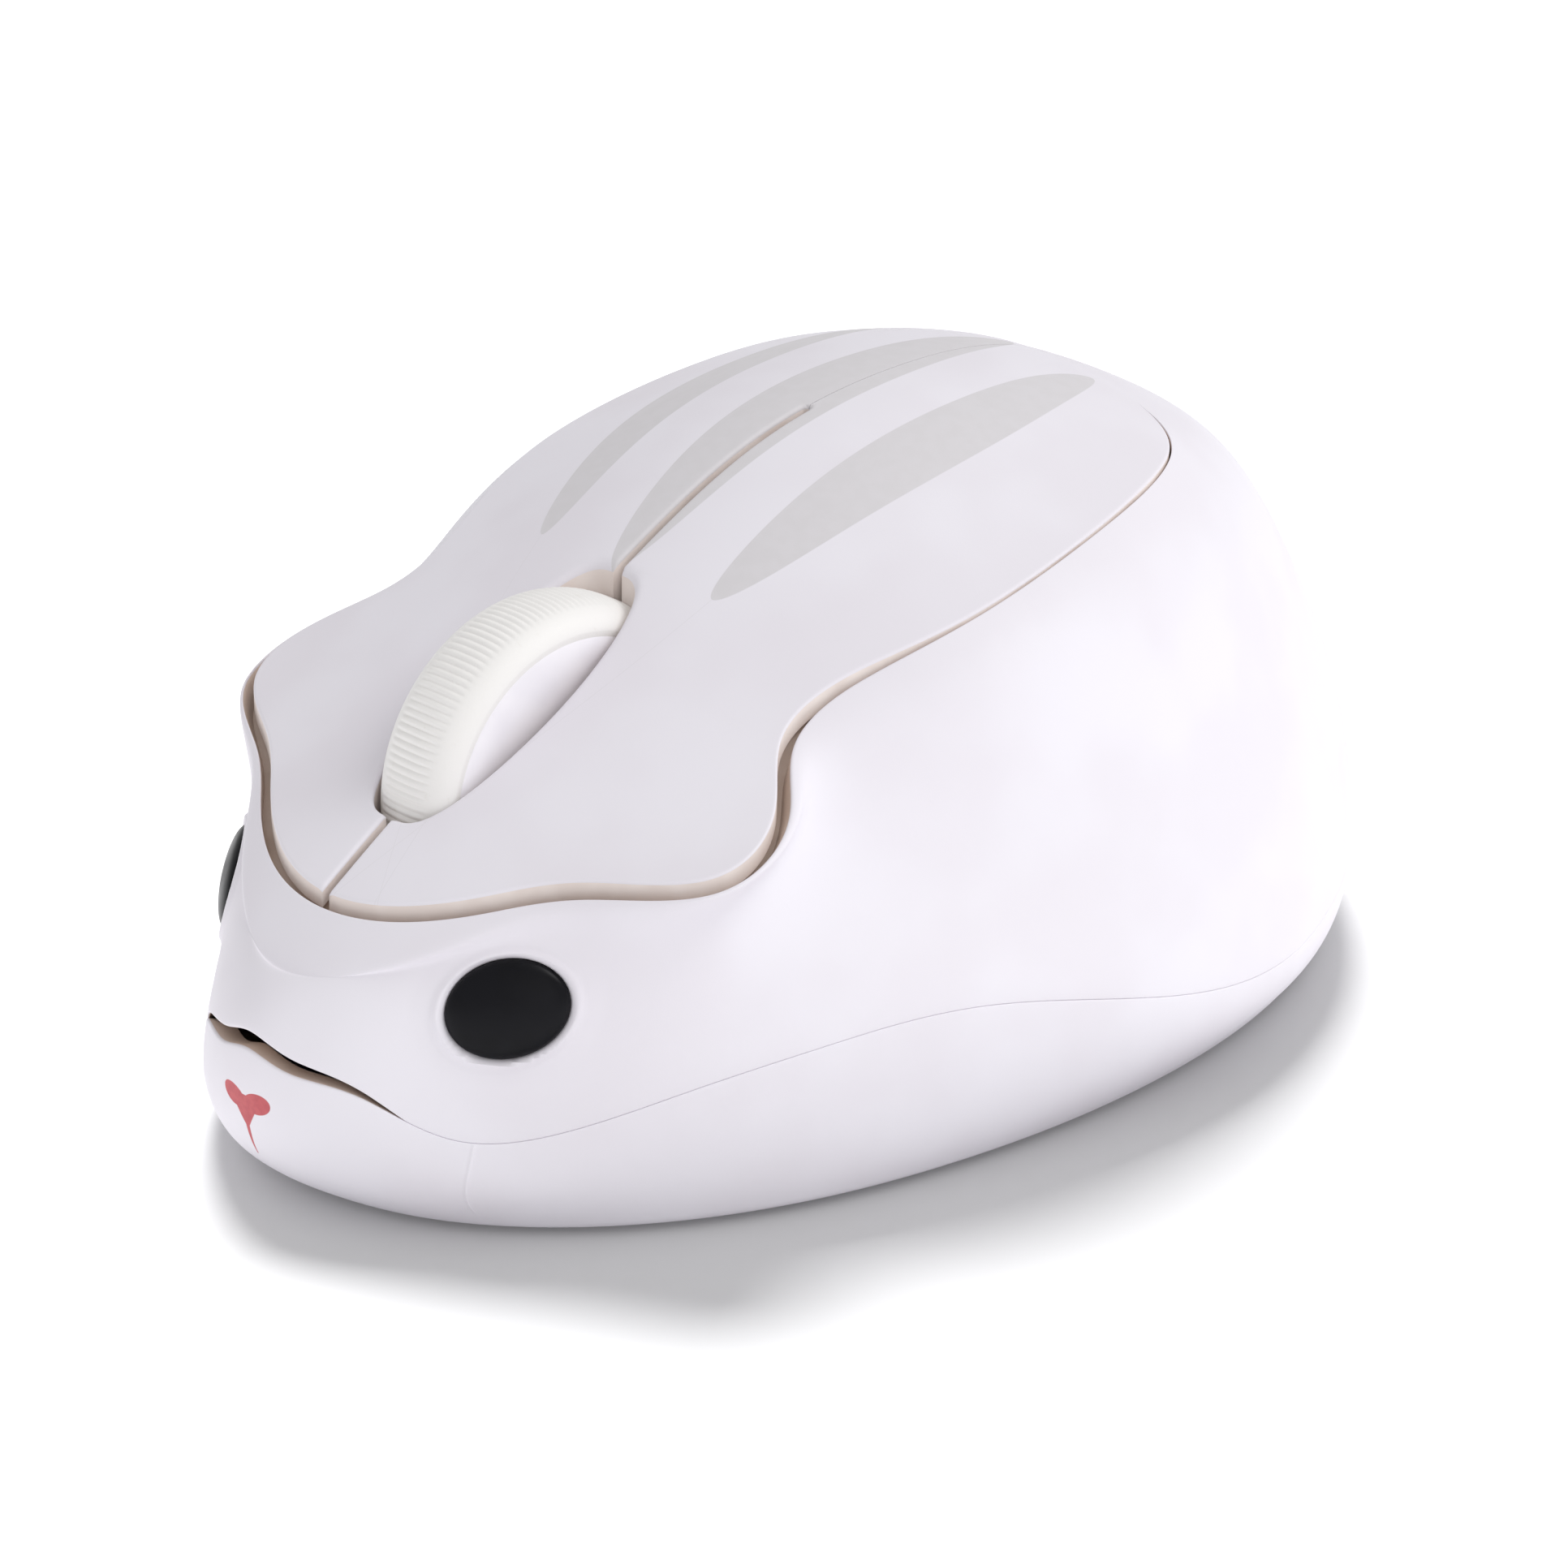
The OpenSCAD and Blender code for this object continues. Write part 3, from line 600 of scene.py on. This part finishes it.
def build_eye(name, side, node):
    """A satin dome that drops steeply into its socket."""
    rings, turns = 28, 96
    rho = np.sin(np.linspace(0, math.pi/2, rings))[:, None]
    a = np.linspace(0, 2*math.pi, turns, endpoint=False)[None]
    z = EYE_BULGE*np.sqrt(np.maximum(1 - rho**2, 0)) + 0*a
    dome = np.stack([EYE_A*rho*np.cos(a), EYE_B*rho*np.sin(a), z], -1)
    under = dome[-1] - np.array([0, 0, 0.85])
    stem = [np.stack([2.2*np.cos(a[0]), 2.2*np.sin(a[0]), 0*a[0] + h], -1) for h in (-0.85, -3.5)]
    points = np.concatenate([dome.reshape(-1, 3), under, *stem])
    faces = grid_faces(rings + 3, turns, wrap_cols=True).tolist()
    end = (rings + 2)*turns
    faces.append(list(range(end, end + turns)))
    points = EYE_AT + points @ EYE_AXES.T
    points[:, 0] *= side
    ob = dress(mesh_object(name, points, faces), "eye")
    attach(ob, "shell")
    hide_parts(node)


# ---------------------------------------------------------------- the two white shells
RIDGE = ((2.2, 3.17), (0.6, 3.06))  # ends of the fine moulding line as (t, s)
RIM_IN = np.array([0.965, 0.965, 1])  # the flat rim under the lower shell, as a share of it
SEAM_DEPTH = 0.05  # how far the seam's edges reach into the wall past their rounding
# INSIDE faces take the second material: beige painted shade on the shells' inner walls and on the
# cover plates' walls and undersides.
OUTSIDE, INSIDE = 0, 1  # which material a face of a shell takes


def columns():
    """Parameters round half the body, closer together at the eye and the moulding line."""
    return spread(0, LAST, 400, [(2.55, 4.15, 1.4), (2.95, 3.3, 3.0)])


def whole(half):
    """Rows of half a loop, from the nose to the tail, made into whole loops."""
    other = half[:, -2:0:-1]*np.array([-1.0, 1.0, 1.0])
    return np.concatenate([half, other], 1)


def band(name, half_rows, s, skin_from, skin_to):
    """A closed band from rows of half loops, joined in turn and the last to the first.

    Only the faces of rows skin_from to skin_to are on the outside."""
    rows = whole(half_rows)
    m, n = rows.shape[:2]
    faces = grid_faces(m, n, True, True)
    # texture coordinates: level distance from the nose line, and height
    half_n = len(s)
    points = rows.reshape(-1, 3)
    corner = points[faces]
    level = np.abs(corner[..., 0])
    level = np.where(corner[..., 1] < -5, level, 66 - level)
    side = np.where((faces[:, :1] % n) < half_n - 1, 1.0, -1.0)
    uv = np.stack([0.5 + side*level*SHAPE_SCALE/2, 0.5 + corner[..., 2]*SHAPE_SCALE/2], -1)
    row = np.arange(len(faces))//n
    kinds = np.where((row >= skin_from) & (row < skin_to), OUTSIDE, INSIDE)
    return mesh_object(name, points, faces.tolist(), uv, kinds=kinds)


def mouth_t(s):
    """Lower edge of the upper shell, lifted at the front where the mouth gap is."""
    return SEAM_T + 0.17*np.maximum(0, 1 - (s/2.5)**2)


def seam_round(s):
    """Rounding of the edges along the seam, larger at the mouth."""
    return 0.1 + 0.14*np.maximum(0, 1 - (s/2.6)**2)


def inner_rows(ts, s, depth):
    """Rows of the inside of the wall."""
    return np.stack([skin(t, s) - d*skin_normal(t, s) for t, d in zip(ts, depth)])


LEDGE_DEPTH = 2.1  # the ledge that carries the cover, below the animal's back
LEDGE_OUT = np.array([0.65, 0.7, 0.65, 0.4, -0.1, 0.1, 0.6, 0.35] + [0.15]*5)


def under_cover(s, gap, depth):
    """Points round the edge of the cover, at a distance from it and below the back."""
    q = curve(edge_row(gap + np.zeros(LAST + 1), 0.0), s)
    q[..., 2] = top_z(q[..., 0], q[..., 1]) - depth
    return q


def moulding_line(p, t, s):
    """A fine raised line where two halves of the mould met."""
    (t1, s1), (t0, s0) = RIDGE
    middle = s0 + (s1 - s0)*(t - t0)/(t1 - t0)
    off = (s - middle)*7.0
    lift = 0.07*np.exp(-(off/0.1)**2)*smooth(t0 - 0.1, t0 + 0.1, t)
    return p + lift[..., None]*skin_normal(t, s)


def build_upper():
    """Upper shell: from the seam up over the cheeks to the lip, the ledge and back inside."""
    s = columns()
    low = mouth_t(s)
    r = seam_round(s)
    first = low + steps_for(low, s, r)
    soft = 0.32 - 0.18*smooth(7.0, 8.0, s)
    last = LIP_T - steps_for(np.full_like(s, LIP_T - 0.05), s, soft)
    share = spread(0, 1, 92, [(0.2, 0.5, 1.6), (0.86, 1.0, 1.0)])
    t = first + share[:, None]*(last - first)
    outer = eye_rim(skin(t, s))
    corner = skin(low, s)
    inside = corner - skin_normal(low, s)*(r + SEAM_DEPTH)[:, None]
    start = round_corner(inside, corner, outer[0], 5)
    lip = skin(np.full_like(s, LIP_T), s)
    drop = lip - np.array([0, 0, 1])*soft[:, None]
    end = round_corner(outer[-1], lip, drop, 6)
    ledge = [under_cover(s, gap, depth) for gap, depth in
             ((LEDGE_OUT, LEDGE_DEPTH), (-1.0, LEDGE_DEPTH), (-1.0, LEDGE_DEPTH + 0.7))]
    inner = inner_rows([4.2, 3.8, 3.4, 3.0, 2.6, 2.25], s,
                       [0.7*WALL, 0.85*WALL, WALL, WALL, WALL, WALL])
    rows = np.concatenate([inside[None], start, outer, end, drop[None], np.stack(ledge), inner])
    outside = 1 + len(start) + len(outer) + len(end)
    # The inner faces take the gap material: beige painted shade.
    return dress(band("upper_skin", rows, s, 1, outside), "shell", "gap")


def build_base_skin():
    """Wall of the lower shell: from the seam down to the rim underneath and back inside."""
    s = columns()
    r = seam_round(s)
    top = np.full_like(s, SEAM_T)
    first = top - steps_for(top, s, r)
    last = steps_for(np.full_like(s, 0.02), s, 0.7)
    share = np.linspace(0, 1, 42)[:, None]
    t = first + share*(last - first)
    outer = moulding_line(skin(t, s), t, s + 0*t)
    corner = skin(top, s)
    inside = corner - skin_normal(top, s)*(r + SEAM_DEPTH)[:, None]
    start = round_corner(inside, corner, outer[0], 5)
    foot = skin(np.zeros_like(s), s)
    ring = foot*RIM_IN
    near = foot + (ring - foot)*0.5
    end = round_corner(outer[-1], foot, near, 5)
    ring_top = ring + np.array([0, 0, WALL])
    inner = inner_rows([0.6, 1.0, 1.5, SEAM_T], s, [WALL]*4)
    rows = np.concatenate([inside[None], start, outer, end, near[None], ring[None],
                           ring_top[None], inner])
    outside = 1 + len(start) + len(outer) + len(end)
    # The inner faces take the gap material: beige painted shade.
    return dress(band("base_skin", rows, s, 1, outside + 2), "base", "gap")


# ---------------------------------------------------------------- underside
FOOT_AT = ((0, -38, 11, 3), (-17.3, 26, 2.8, 4.6), (17.3, 26, 2.8, 4.6))
SCREW_AT = ((-18.5, -25), (18.5, -25), (-17, 34), (17, 34))
BOSS_AT = ((-17, -8), (17, -8), (0, -38.6))
UNDER, FLOOR_TOP = 0.5, 2.3
DOOR = (-12.0, 12.0, -3.0, 43.4)
SENSOR_Y, POWER_AT, RECEIVER_AT = -13.5, (-15.5, -16.5), (20, 12)


def pill(x, y, w, h, grow=0.0, steps=14):
    """Outline of a pad with round ends, from its centre and half sizes."""
    r = min(w, h) + grow
    return rectangle(x - w - grow, x + w + grow, y - h - grow, y + h + grow, r - 1e-3, steps)


def build_base_floor():
    """The flat floor inside the lower shell, with its walls, posts and openings."""
    s = np.linspace(0, LAST, 120)
    ring = whole((skin(np.zeros_like(s), s)*RIM_IN)[None])[0][:, :2]
    px, py = RECEIVER_AT
    solid = mesh_object("base_floor", *prism(ring, UNDER, FLOOR_TOP))
    extra = [prism(rectangle(px - 4.4, px + 4.4, py - 8.4, py + 8.4, 0.8), UNDER + 0.6, 8.5),
             *[prism(rectangle(x, x + 1.5, -3, 40), UNDER + 0.9, 7.0) for x in (-13.7, 12.2)],
             *[prism(circle(x, y, 2.9), UNDER + 0.5, 8.0) for x, y in SCREW_AT],
             *[prism(circle(x, y, 2.6), UNDER + 0.5, 7.98) for x, y in BOSS_AT]]
    cut(solid, mesh_object("extra", *merged(extra)), "UNION")
    x0, x1, y0, y1 = DOOR
    holes = [
        [prism(circle(x, y, 0.9), FLOOR_TOP, 20) for x, y in BOSS_AT],
        [prism(circle(x, y, 2.3), -1, 4.5, 0.25) for x, y in SCREW_AT],
        [prism(circle(x, y, 1.25, 24), 4.0, 20) for x, y in SCREW_AT],
        [prism(pill(*f, grow=0.1), -1, 0.8) for f in FOOT_AT],
        [prism(rectangle(x0 - 0.2, x1 + 0.2, y0 - 0.2, y1 + 0.2, 1.0), -1, 2.2, 0.2)],
        [prism(rectangle(x0 + 0.2, x1 - 0.2, -4.1, 41.9, 0.5), 1, 9)],
        [prism(rectangle(-4.5, 4.5, SENSOR_Y - 4.5, SENSOR_Y + 6.5, 1.2), -1, 5, 0.6)],
        [prism(rectangle(POWER_AT[0] - 1.7, POWER_AT[0] + 1.7, POWER_AT[1] - 3.6,
                         POWER_AT[1] + 3.6, 0.5), -1, 5)],
        [prism(rectangle(POWER_AT[0] - 3, POWER_AT[0] + 3, POWER_AT[1] - 5, POWER_AT[1] + 5,
                         1.4), -1, 1.2, 0.2)],
        [prism(rectangle(px - 3.4, px + 3.4, py - 7.4, py + 7.4, 0.6), -1, 6.7, 0.3)],
        [prism(rectangle(px - 2.35, px + 2.35, py - 6.1, py + 6.1), 0, 40)],
    ]
    for k, group in enumerate(holes):
        cut(solid, mesh_object(f"hole{k}", *merged(group)))
    tidy_mesh(solid, 30)
    return dress(solid, "base")


def shell_pieces():
    upper, base, floor = build_upper(), build_base_skin(), build_base_floor()
    for ob in (upper, base, floor):
        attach(ob, "shell")
    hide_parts("upper_shell")
    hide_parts("base_shell")
    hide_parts("base_shell")


# ---------------------------------------------------------------- top cover and click keys
COVER_T = 1.4
SLIT = 0.35  # half the width of the slit between the keys
FLEX_Y = 1.0  # where the keys bend
OPENING = (-37.6, -17.1)  # front and rear of the wheel opening
OPENING_HALF, OPENING_BLUNT = 4.9, 0.3
SKIRT = 2.4  # how much deeper the cover is round the wheel


def resample(path, count):
    """The same path with points at equal distances."""
    d = np.concatenate([[0], np.cumsum(np.linalg.norm(np.diff(path, axis=0), axis=1))])
    at = np.linspace(0, d[-1], count)
    return np.stack([np.interp(at, d, path[:, k]) for k in range(path.shape[1])], -1)


def edge_s(y, low=6.5, high=12.0):
    """Parameter of the cover's edge where it passes y, behind the ears."""
    for _ in range(40):
        mid = (low + high)/2
        low, high = (mid, high) if curve(COVER_EDGE, np.array(mid))[1] < y else (low, mid)
    return mid


def slit_start():
    """Parameter of the cover's edge where the front slit leaves it."""
    low, high = 0.0, 1.0
    for _ in range(40):
        mid = (low + high)/2
        low, high = (mid, high) if curve(COVER_EDGE, np.array(mid))[0] < SLIT else (low, mid)
    return mid


def opening_path(count=400):
    """Half of the wheel opening, from its front to its rear."""
    a = np.linspace(0.02, math.pi - 0.02, count)
    u = (1 - np.cos(a))/2
    x = OPENING_HALF*np.sin(math.pi*u)**OPENING_BLUNT
    keep = x > SLIT
    y = OPENING[0] + u*(OPENING[1] - OPENING[0])
    return np.stack([x[keep], y[keep]], -1)


def key_inner_path():
    front = curve(COVER_EDGE, np.array(slit_start()))[1]
    hole = opening_path()
    lead = np.stack([np.full(20, SLIT), np.linspace(front, hole[0, 1], 21)[:-1]], -1)
    y = np.linspace(hole[-1, 1], FLEX_Y - SLIT, 60)[1:]
    tail = np.stack([np.full(59, SLIT), y], -1)
    a = np.linspace(0, math.pi/2, 10)[1:]
    end = np.stack([SLIT*np.cos(a), FLEX_Y - SLIT + SLIT*np.sin(a)], -1)
    return [lead, hole, np.concatenate([tail, end])]


def cover_outline():
    """Segments of every free edge of the cover, and which of them border the wheel opening."""
    s = np.linspace(0, LAST, 900)
    edge = curve(COVER_EDGE, s)[:, :2]
    lead, hole, tail = key_inner_path()
    paths = [edge, np.concatenate([lead, hole[:1]]), resample(hole, 160),
             np.concatenate([hole[-1:], tail])]
    segments, kind = [], []
    for k, p in enumerate(paths):
        for side in (1, -1):
            q = p*np.array([side, 1])
            segments.append(np.stack([q[:-1], q[1:]], 1))
            kind.append(np.full(len(q) - 1, k))
    return np.concatenate(segments), np.concatenate(kind)


OUTLINE, OUTLINE_KIND = cover_outline()
EDGE, LEAD, HOLE, TAIL = range(4)  # the borders of the cover: rim, slit, wheel opening, slit
EDGE_ROUND = (((EDGE,), 0.16), ((LEAD, TAIL), 0.3), ((HOLE,), 0.5))


def edge_distance(p, borders):
    """Distance of each point to the nearest free edge among the borders given."""
    seg = OUTLINE[np.isin(OUTLINE_KIND, borders)]
    best = np.full(len(p), 1e9)
    for k in range(0, len(seg), 60):
        a, b = seg[k:k + 60, 0], seg[k:k + 60, 1]
        ab = b - a
        ap = p[:, None] - a[None]
        u = np.clip((ap*ab).sum(-1)/np.maximum((ab*ab).sum(-1), 1e-12), 0, 1)
        d = np.linalg.norm(ap - u[..., None]*ab, axis=-1).min(1)
        best = np.minimum(best, d)
    return best


def rib_steps(length, ends):
    """Distances along a rib, close together near its free ends (0 = left, 1 = right)."""
    near = np.array([0, 0.012, 0.05, 0.11, 0.2, 0.32, 0.48, 0.7, 1.0])
    if length < 1e-6:
        return np.zeros(2*len(near) + 20)
    scale = min(1.0, length/2.6)
    left = near*scale if 0 in ends else np.linspace(0, 1, len(near))*min(1.0, length/2.6)
    right = near*scale if 1 in ends else np.linspace(0, 1, len(near))*min(1.0, length/2.6)
    middle = np.linspace(left[-1], length - right[-1], 22)[1:-1]
    return np.concatenate([left, middle, (length - right)[::-1]])


def edge_drop(flat):
    """How far the rounding of the free edges lowers the plate at each point."""
    drop = np.zeros(len(flat))
    for borders, radius in EDGE_ROUND:
        d = np.minimum(edge_distance(flat, borders), radius)
        drop = np.maximum(drop, radius - np.sqrt(np.maximum(radius**2 - (radius - d)**2, 0)))
    return drop


def plate(ribs, name, mirror=False, both=False, foot=None):
    """A rounded plate over ribs of (x, y) points, following the animal's back."""
    m, n = ribs.shape[:2]
    flat = ribs.reshape(-1, 2)
    drop = edge_drop(flat)
    z = top_z(flat[:, 0], flat[:, 1])
    deep = COVER_T + SKIRT*(1 - smooth(0.9, 1.5, edge_distance(flat, (HOLE,))))
    top = np.column_stack([flat, z - drop])
    low = np.column_stack([flat, z - deep])
    faces = grid_faces(m, n).tolist()
    kinds = [OUTSIDE]*len(faces)
    faces += [f[::-1] for f in grid_faces(m, n, start=m*n).tolist()]
    rim = (list(range(n)) + [r*n + n - 1 for r in range(1, m)]
           + [(m - 1)*n + c for c in range(n - 2, -1, -1)] + [r*n for r in range(m - 2, 0, -1)])
    rim = np.array(rim)
    nxt = np.roll(rim, -1)
    faces += np.stack([nxt, rim, rim + m*n, nxt + m*n], -1).tolist()
    points = np.concatenate([top, low])
    if foot:
        points, faces = merged([(points, faces), foot])
    kinds += [INSIDE]*(len(faces) - len(kinds))
    side = -1.0 if mirror else 1.0
    points = points*np.array([side, 1, 1])
    if both:
        other = points*np.array([-1, 1, 1])
        points, faces = merged([(points, faces), (other, [f[::-1] for f in faces])])
        kinds = kinds*2
    uv = np.concatenate([0.5 + points[f][:, :2]*SHAPE_SCALE/2 for f in faces])
    return mesh_object(name, points, faces, uv, 50, kinds)


def key_ribs():
    """Ribs of a click key, each from the slit or the wheel opening out to the cover's edge."""
    lead, hole, tail = key_inner_path()
    s0, s1 = slit_start(), edge_s(FLEX_Y)
    parts = ((lead, s0, 1.75, 26), (hole, 1.75, 6.95, 170), (tail, 6.95, s1, 64))
    ribs = []
    for path, a, b, count in parts:
        inner = resample(path, count)
        if path is hole:
            at = (inner[:, 1] - inner[0, 1])/(inner[-1, 1] - inner[0, 1])
            lengths = np.linspace(0, 1, count)
            outer_s = a + (b - a)*(0.55*at + 0.45*lengths)
        else:
            outer_s = np.linspace(a, b, count)
        outer = curve(COVER_EDGE, outer_s)[:, :2]
        for p, q in zip(inner, outer):
            d = rib_steps(np.linalg.norm(q - p), (0, 1))
            ribs.append(p + (q - p)*(d/max(d[-1], 1e-9))[:, None])
    return np.stack(ribs)


def palm_ribs():
    """Ribs of half of the palm piece, from the middle line out to the edge."""
    s = edge_s(FLEX_Y) + (LAST - edge_s(FLEX_Y))*np.linspace(0, 1, 130)
    outer = curve(COVER_EDGE, s)[:, :2]
    y = FLEX_Y + (curve(COVER_EDGE, np.array(12.0))[1] - FLEX_Y)*np.linspace(0, 1, 130)
    ribs = []
    for k in range(130):
        p = np.array([0, y[k]])
        d = rib_steps(np.linalg.norm(outer[k] - p), (1,))
        ribs.append(p + (outer[k] - p)*(d/max(d[-1], 1e-9))[:, None])
    return np.stack(ribs)


def key_foot():
    """The post under a key that meets its switch."""
    x, y = 9.5, -33.8
    top = float(top_z(np.array(x), np.array(y))) - 1.2
    return prism(rectangle(x - 2, x + 2, y - 1, y + 1, 0.3, 3), 14.25, top)


def cover_pieces():
    ribs = key_ribs()
    for name, node, body, mirror in (("left_key_plate", "left_button", "left_key", False),
                                     ("right_key_plate", "right_button", "right_key", True)):
        # The plate's walls and underside take the edge material: beige painted shade.
        ob = dress(plate(ribs, name, mirror, foot=key_foot()), "cover", "edge")
        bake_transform(ob)
        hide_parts(node)
    # The plate's walls and underside take the edge material: beige painted shade.
    ob = dress(plate(palm_ribs(), "palm_plate", both=True), "cover", "edge")
    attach(ob, "shell")
    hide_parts("palm_cover")


# ---------------------------------------------------------------- scroll wheel
AXLE = (0.0, -24.0, 24.5)
TYRE_R, TYRE_HALF = 12.8, 3.5
RIBS = 146


def tyre_wave(a, x):
    fade = 1 - smooth(1.75, 2.35, np.abs(x))
    ridge = np.abs(np.sin(a*RIBS/2))**1.5
    return 0.11*fade*(1 - ridge)


def wheel_pieces():
    x = TYRE_HALF*np.sin(np.linspace(-math.pi/2, math.pi/2, 41))
    r = 11.0 + (TYRE_R - 11.0)*(1 - np.abs(x/TYRE_HALF)**2.7)**0.62
    outside = [(a, b) for a, b in zip(r, x)]
    inside = [(10.4, 3.35), (9.75, 2.5), (9.75, -2.5), (10.4, -3.35)]
    tyre = dress(lathe("tyre", outside + inside, RIBS*8, AXLE, tyre_wave), "tyre")
    face = [(0.01, 3.45), (3.0, 3.45), (4.2, 3.52), (8.2, 3.62), (9.4, 3.64), (10.0, 3.58),
            (10.5, 3.46), (10.75, 3.32), (10.72, 3.2), (9.7, 2.5)]
    profile = face + [(a, -b) for a, b in face[::-1]]
    hub = lathe("hub_disc", profile, 192, AXLE)
    axle = [(0.01, -12.5), (1.1, -12.5), (1.25, -12.35), (1.25, -3.0), (0.01, -3.0)]
    shoulder = [(0.01, 3.0), (1.8, 3.0), (1.8, 5.0), (1.7, 5.1), (0.01, 5.1)]
    pieces = [hub, lathe("axle", axle, 48, AXLE), lathe("shoulder", shoulder, 48, AXLE),
              lathe("drive", [(0.01, 3), (1.27, 3), (1.27, 10.0), (1.15, 10.1), (0.01, 10.1)],
                    6, AXLE)]
    hub = dress(join(pieces, "hub"), "hub")
    for ob, node, slot in ((tyre, "wheel_tyre", "tyre_rubber"), (hub, "wheel_hub", "hub_white")):
        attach(ob, "wheel")
        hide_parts(node)


def join(obs, name):
    """One mesh object from several."""
    bm = bmesh.new()
    for ob in obs:
        bm.from_mesh(ob.data)
        bpy.data.objects.remove(ob)
    data = bpy.data.meshes.new(name)
    bm.to_mesh(data)
    bm.free()
    ob = bpy.data.objects.new(name, data)
    bpy.context.scene.collection.objects.link(ob)
    return ob


# ---------------------------------------------------------------- CAD nodes that stay
KEPT = {
    "main_board": ("board", 0.1), "left_switch_body": ("grey", 0.2),
    "right_switch_body": ("grey", 0.2), "middle_switch_body": ("grey", 0.2),
    "left_switch_plunger": ("black", 0.15), "right_switch_plunger": ("black", 0.15),
    "middle_switch_plunger": ("black", 0.15), "axle_cradle": ("inner", 0.2),
    "encoder_body": ("grey", 0.25), "encoder_rotor": ("inner", 0.1),
    "optical_sensor": ("black", 0.2), "sensor_lens": ("lens", 0.2), "sensor_led": ("led", 0.1),
    "led_clip": ("black", 0.15), "control_chip": ("black", 0.12), "crystal": ("nickel", 0.3),
    "capacitors": ("black", 0.2), "left_cell": ("cell", 0.25), "right_cell": ("cell", 0.25),
    "cell_springs": ("nickel", 0.08), "cell_contacts": ("nickel", 0.05),
    "battery_door": ("shell", 0.15), "power_switch_body": ("black", 0.15),
    "power_switch_knob": ("grey", 0.12), "receiver_cap": ("black", 0.3),
    "receiver_plug": ("nickel", 0.05), "receiver_tongue": ("black", 0.1),
    "feet": ("feet", 0.12), "base_screws": ("steel", 0.15), "board_screws": ("steel", 0.15),
}


def keep_cad_nodes():
    for name, (material, bevel) in KEPT.items():
        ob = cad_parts[name]
        while len(ob.data.materials) < 1:
            ob.data.materials.append(None)
        for slot in ob.material_slots:
            slot.material = MAT[material]
        weld = ob.modifiers.new("weld", "WELD")
        weld.merge_threshold = 1e-6
        edge = ob.modifiers.new("bevel", "BEVEL")
        edge.width, edge.segments, edge.limit_method = bevel*MM, 3, "ANGLE"
        edge.angle_limit = math.radians(40)
        edge.use_clamp_overlap = True


# ---------------------------------------------------------------- stage, light and camera


def stage():
    data = bpy.data.meshes.new("floor")
    w = 3.0
    data.from_pydata([(-w, -w, 0), (w, -w, 0), (w, w, 0), (-w, w, 0)], [], [(0, 1, 2, 3)])
    floor = bpy.data.objects.new("floor", data)
    bpy.context.scene.collection.objects.link(floor)
    t = Tree("floor_pale")
    t.finish(rgb(218, 218, 219), 0.9, Emission_Color=(1, 1, 1, 1), Emission_Strength=0.04)
    clear = t.nodes.new("ShaderNodeBsdfTransparent")
    mixed = t.nodes.new("ShaderNodeMixShader")
    t.links.new(t.add("ShaderNodeNewGeometry", 6), mixed.inputs[0])
    t.links.new(t.shader.outputs[0], mixed.inputs[1])
    t.links.new(clear.outputs[0], mixed.inputs[2])
    t.links.new(mixed.outputs[0], t.nodes["Material Output"].inputs[0])
    data.materials.append(t.material)
    return floor


def area_light(name, at, size, watts, tint=(1, 1, 1)):
    lamp = bpy.data.lights.new(name, "AREA")
    lamp.shape, lamp.size, lamp.energy, lamp.color = "DISK", size, watts, tint
    ob = bpy.data.objects.new(name, lamp)
    ob.location = at
    ob.rotation_euler = (Vector((0, 0, 0.02)) - Vector(at)).to_track_quat("-Z", "Y").to_euler()
    bpy.context.scene.collection.objects.link(ob)
    return ob


def light_only(lamp, obs):
    """The lamp lights only these objects; the others still cast shadows."""
    lit = bpy.data.collections.new(lamp.name + "_lit")
    for ob in obs:
        lit.objects.link(ob)
    lamp.light_linking.receiver_collection = lit


def lights(floor):
    animal = [ob for ob in bpy.context.scene.objects if ob.type == "MESH" and ob != floor]
    light_only(area_light("key", (0.62, 0.42, 0.95), 0.7, 6.0), animal)
    light_only(area_light("fill", (0.9, -0.5, 0.35), 0.8, 0.7, (1.0, 0.985, 1.0)), animal)
    light_only(area_light("floor_key", (-0.42, 0.3, 1.0), 0.5, 19.0), [floor])
    world = bpy.data.worlds.new("studio")
    world.use_nodes = True
    world.node_tree.nodes["Background"].inputs[0].default_value = (1, 1, 1, 1)
    world.node_tree.nodes["Background"].inputs[1].default_value = 0.62
    bpy.context.scene.world = world
    bpy.context.scene.view_settings.view_transform = "Standard"


def camera():
    """The photograph's camera: azimuth 45.4, elevation 23.5 and a slight roll.

    Its place and focal length came from the same solver as the lists above."""
    at = np.array([244.1, -241.5, 166.0])
    target = np.array([-0.24, -0.53, 16.63])
    a, roll = math.radians(45.4), math.radians(1.02)
    ahead = (target - at)/np.linalg.norm(target - at)
    r = np.array([math.cos(a), math.sin(a), 0])
    u = np.cross(r, ahead)
    right = r*math.cos(roll) + u*math.sin(roll)
    up = -r*math.sin(roll) + u*math.cos(roll)
    data = bpy.data.cameras.new("camera")
    data.sensor_width = 36.0
    data.lens = 36.0*6408/1932
    data.clip_start, data.clip_end = 0.01, 20
    ob = bpy.data.objects.new("camera", data)
    m = Matrix.Identity(4)
    for k in range(3):
        m[k][0], m[k][1], m[k][2], m[k][3] = right[k], up[k], -ahead[k], at[k]*MM
    ob.matrix_world = m
    bpy.context.scene.collection.objects.link(ob)
    bpy.context.scene.camera = ob


shell_pieces()
build_eye("left_eye_dome", 1, "left_eye")
build_eye("right_eye_dome", -1, "right_eye")
cover_pieces()
wheel_pieces()
keep_cad_nodes()
lights(stage())
camera()
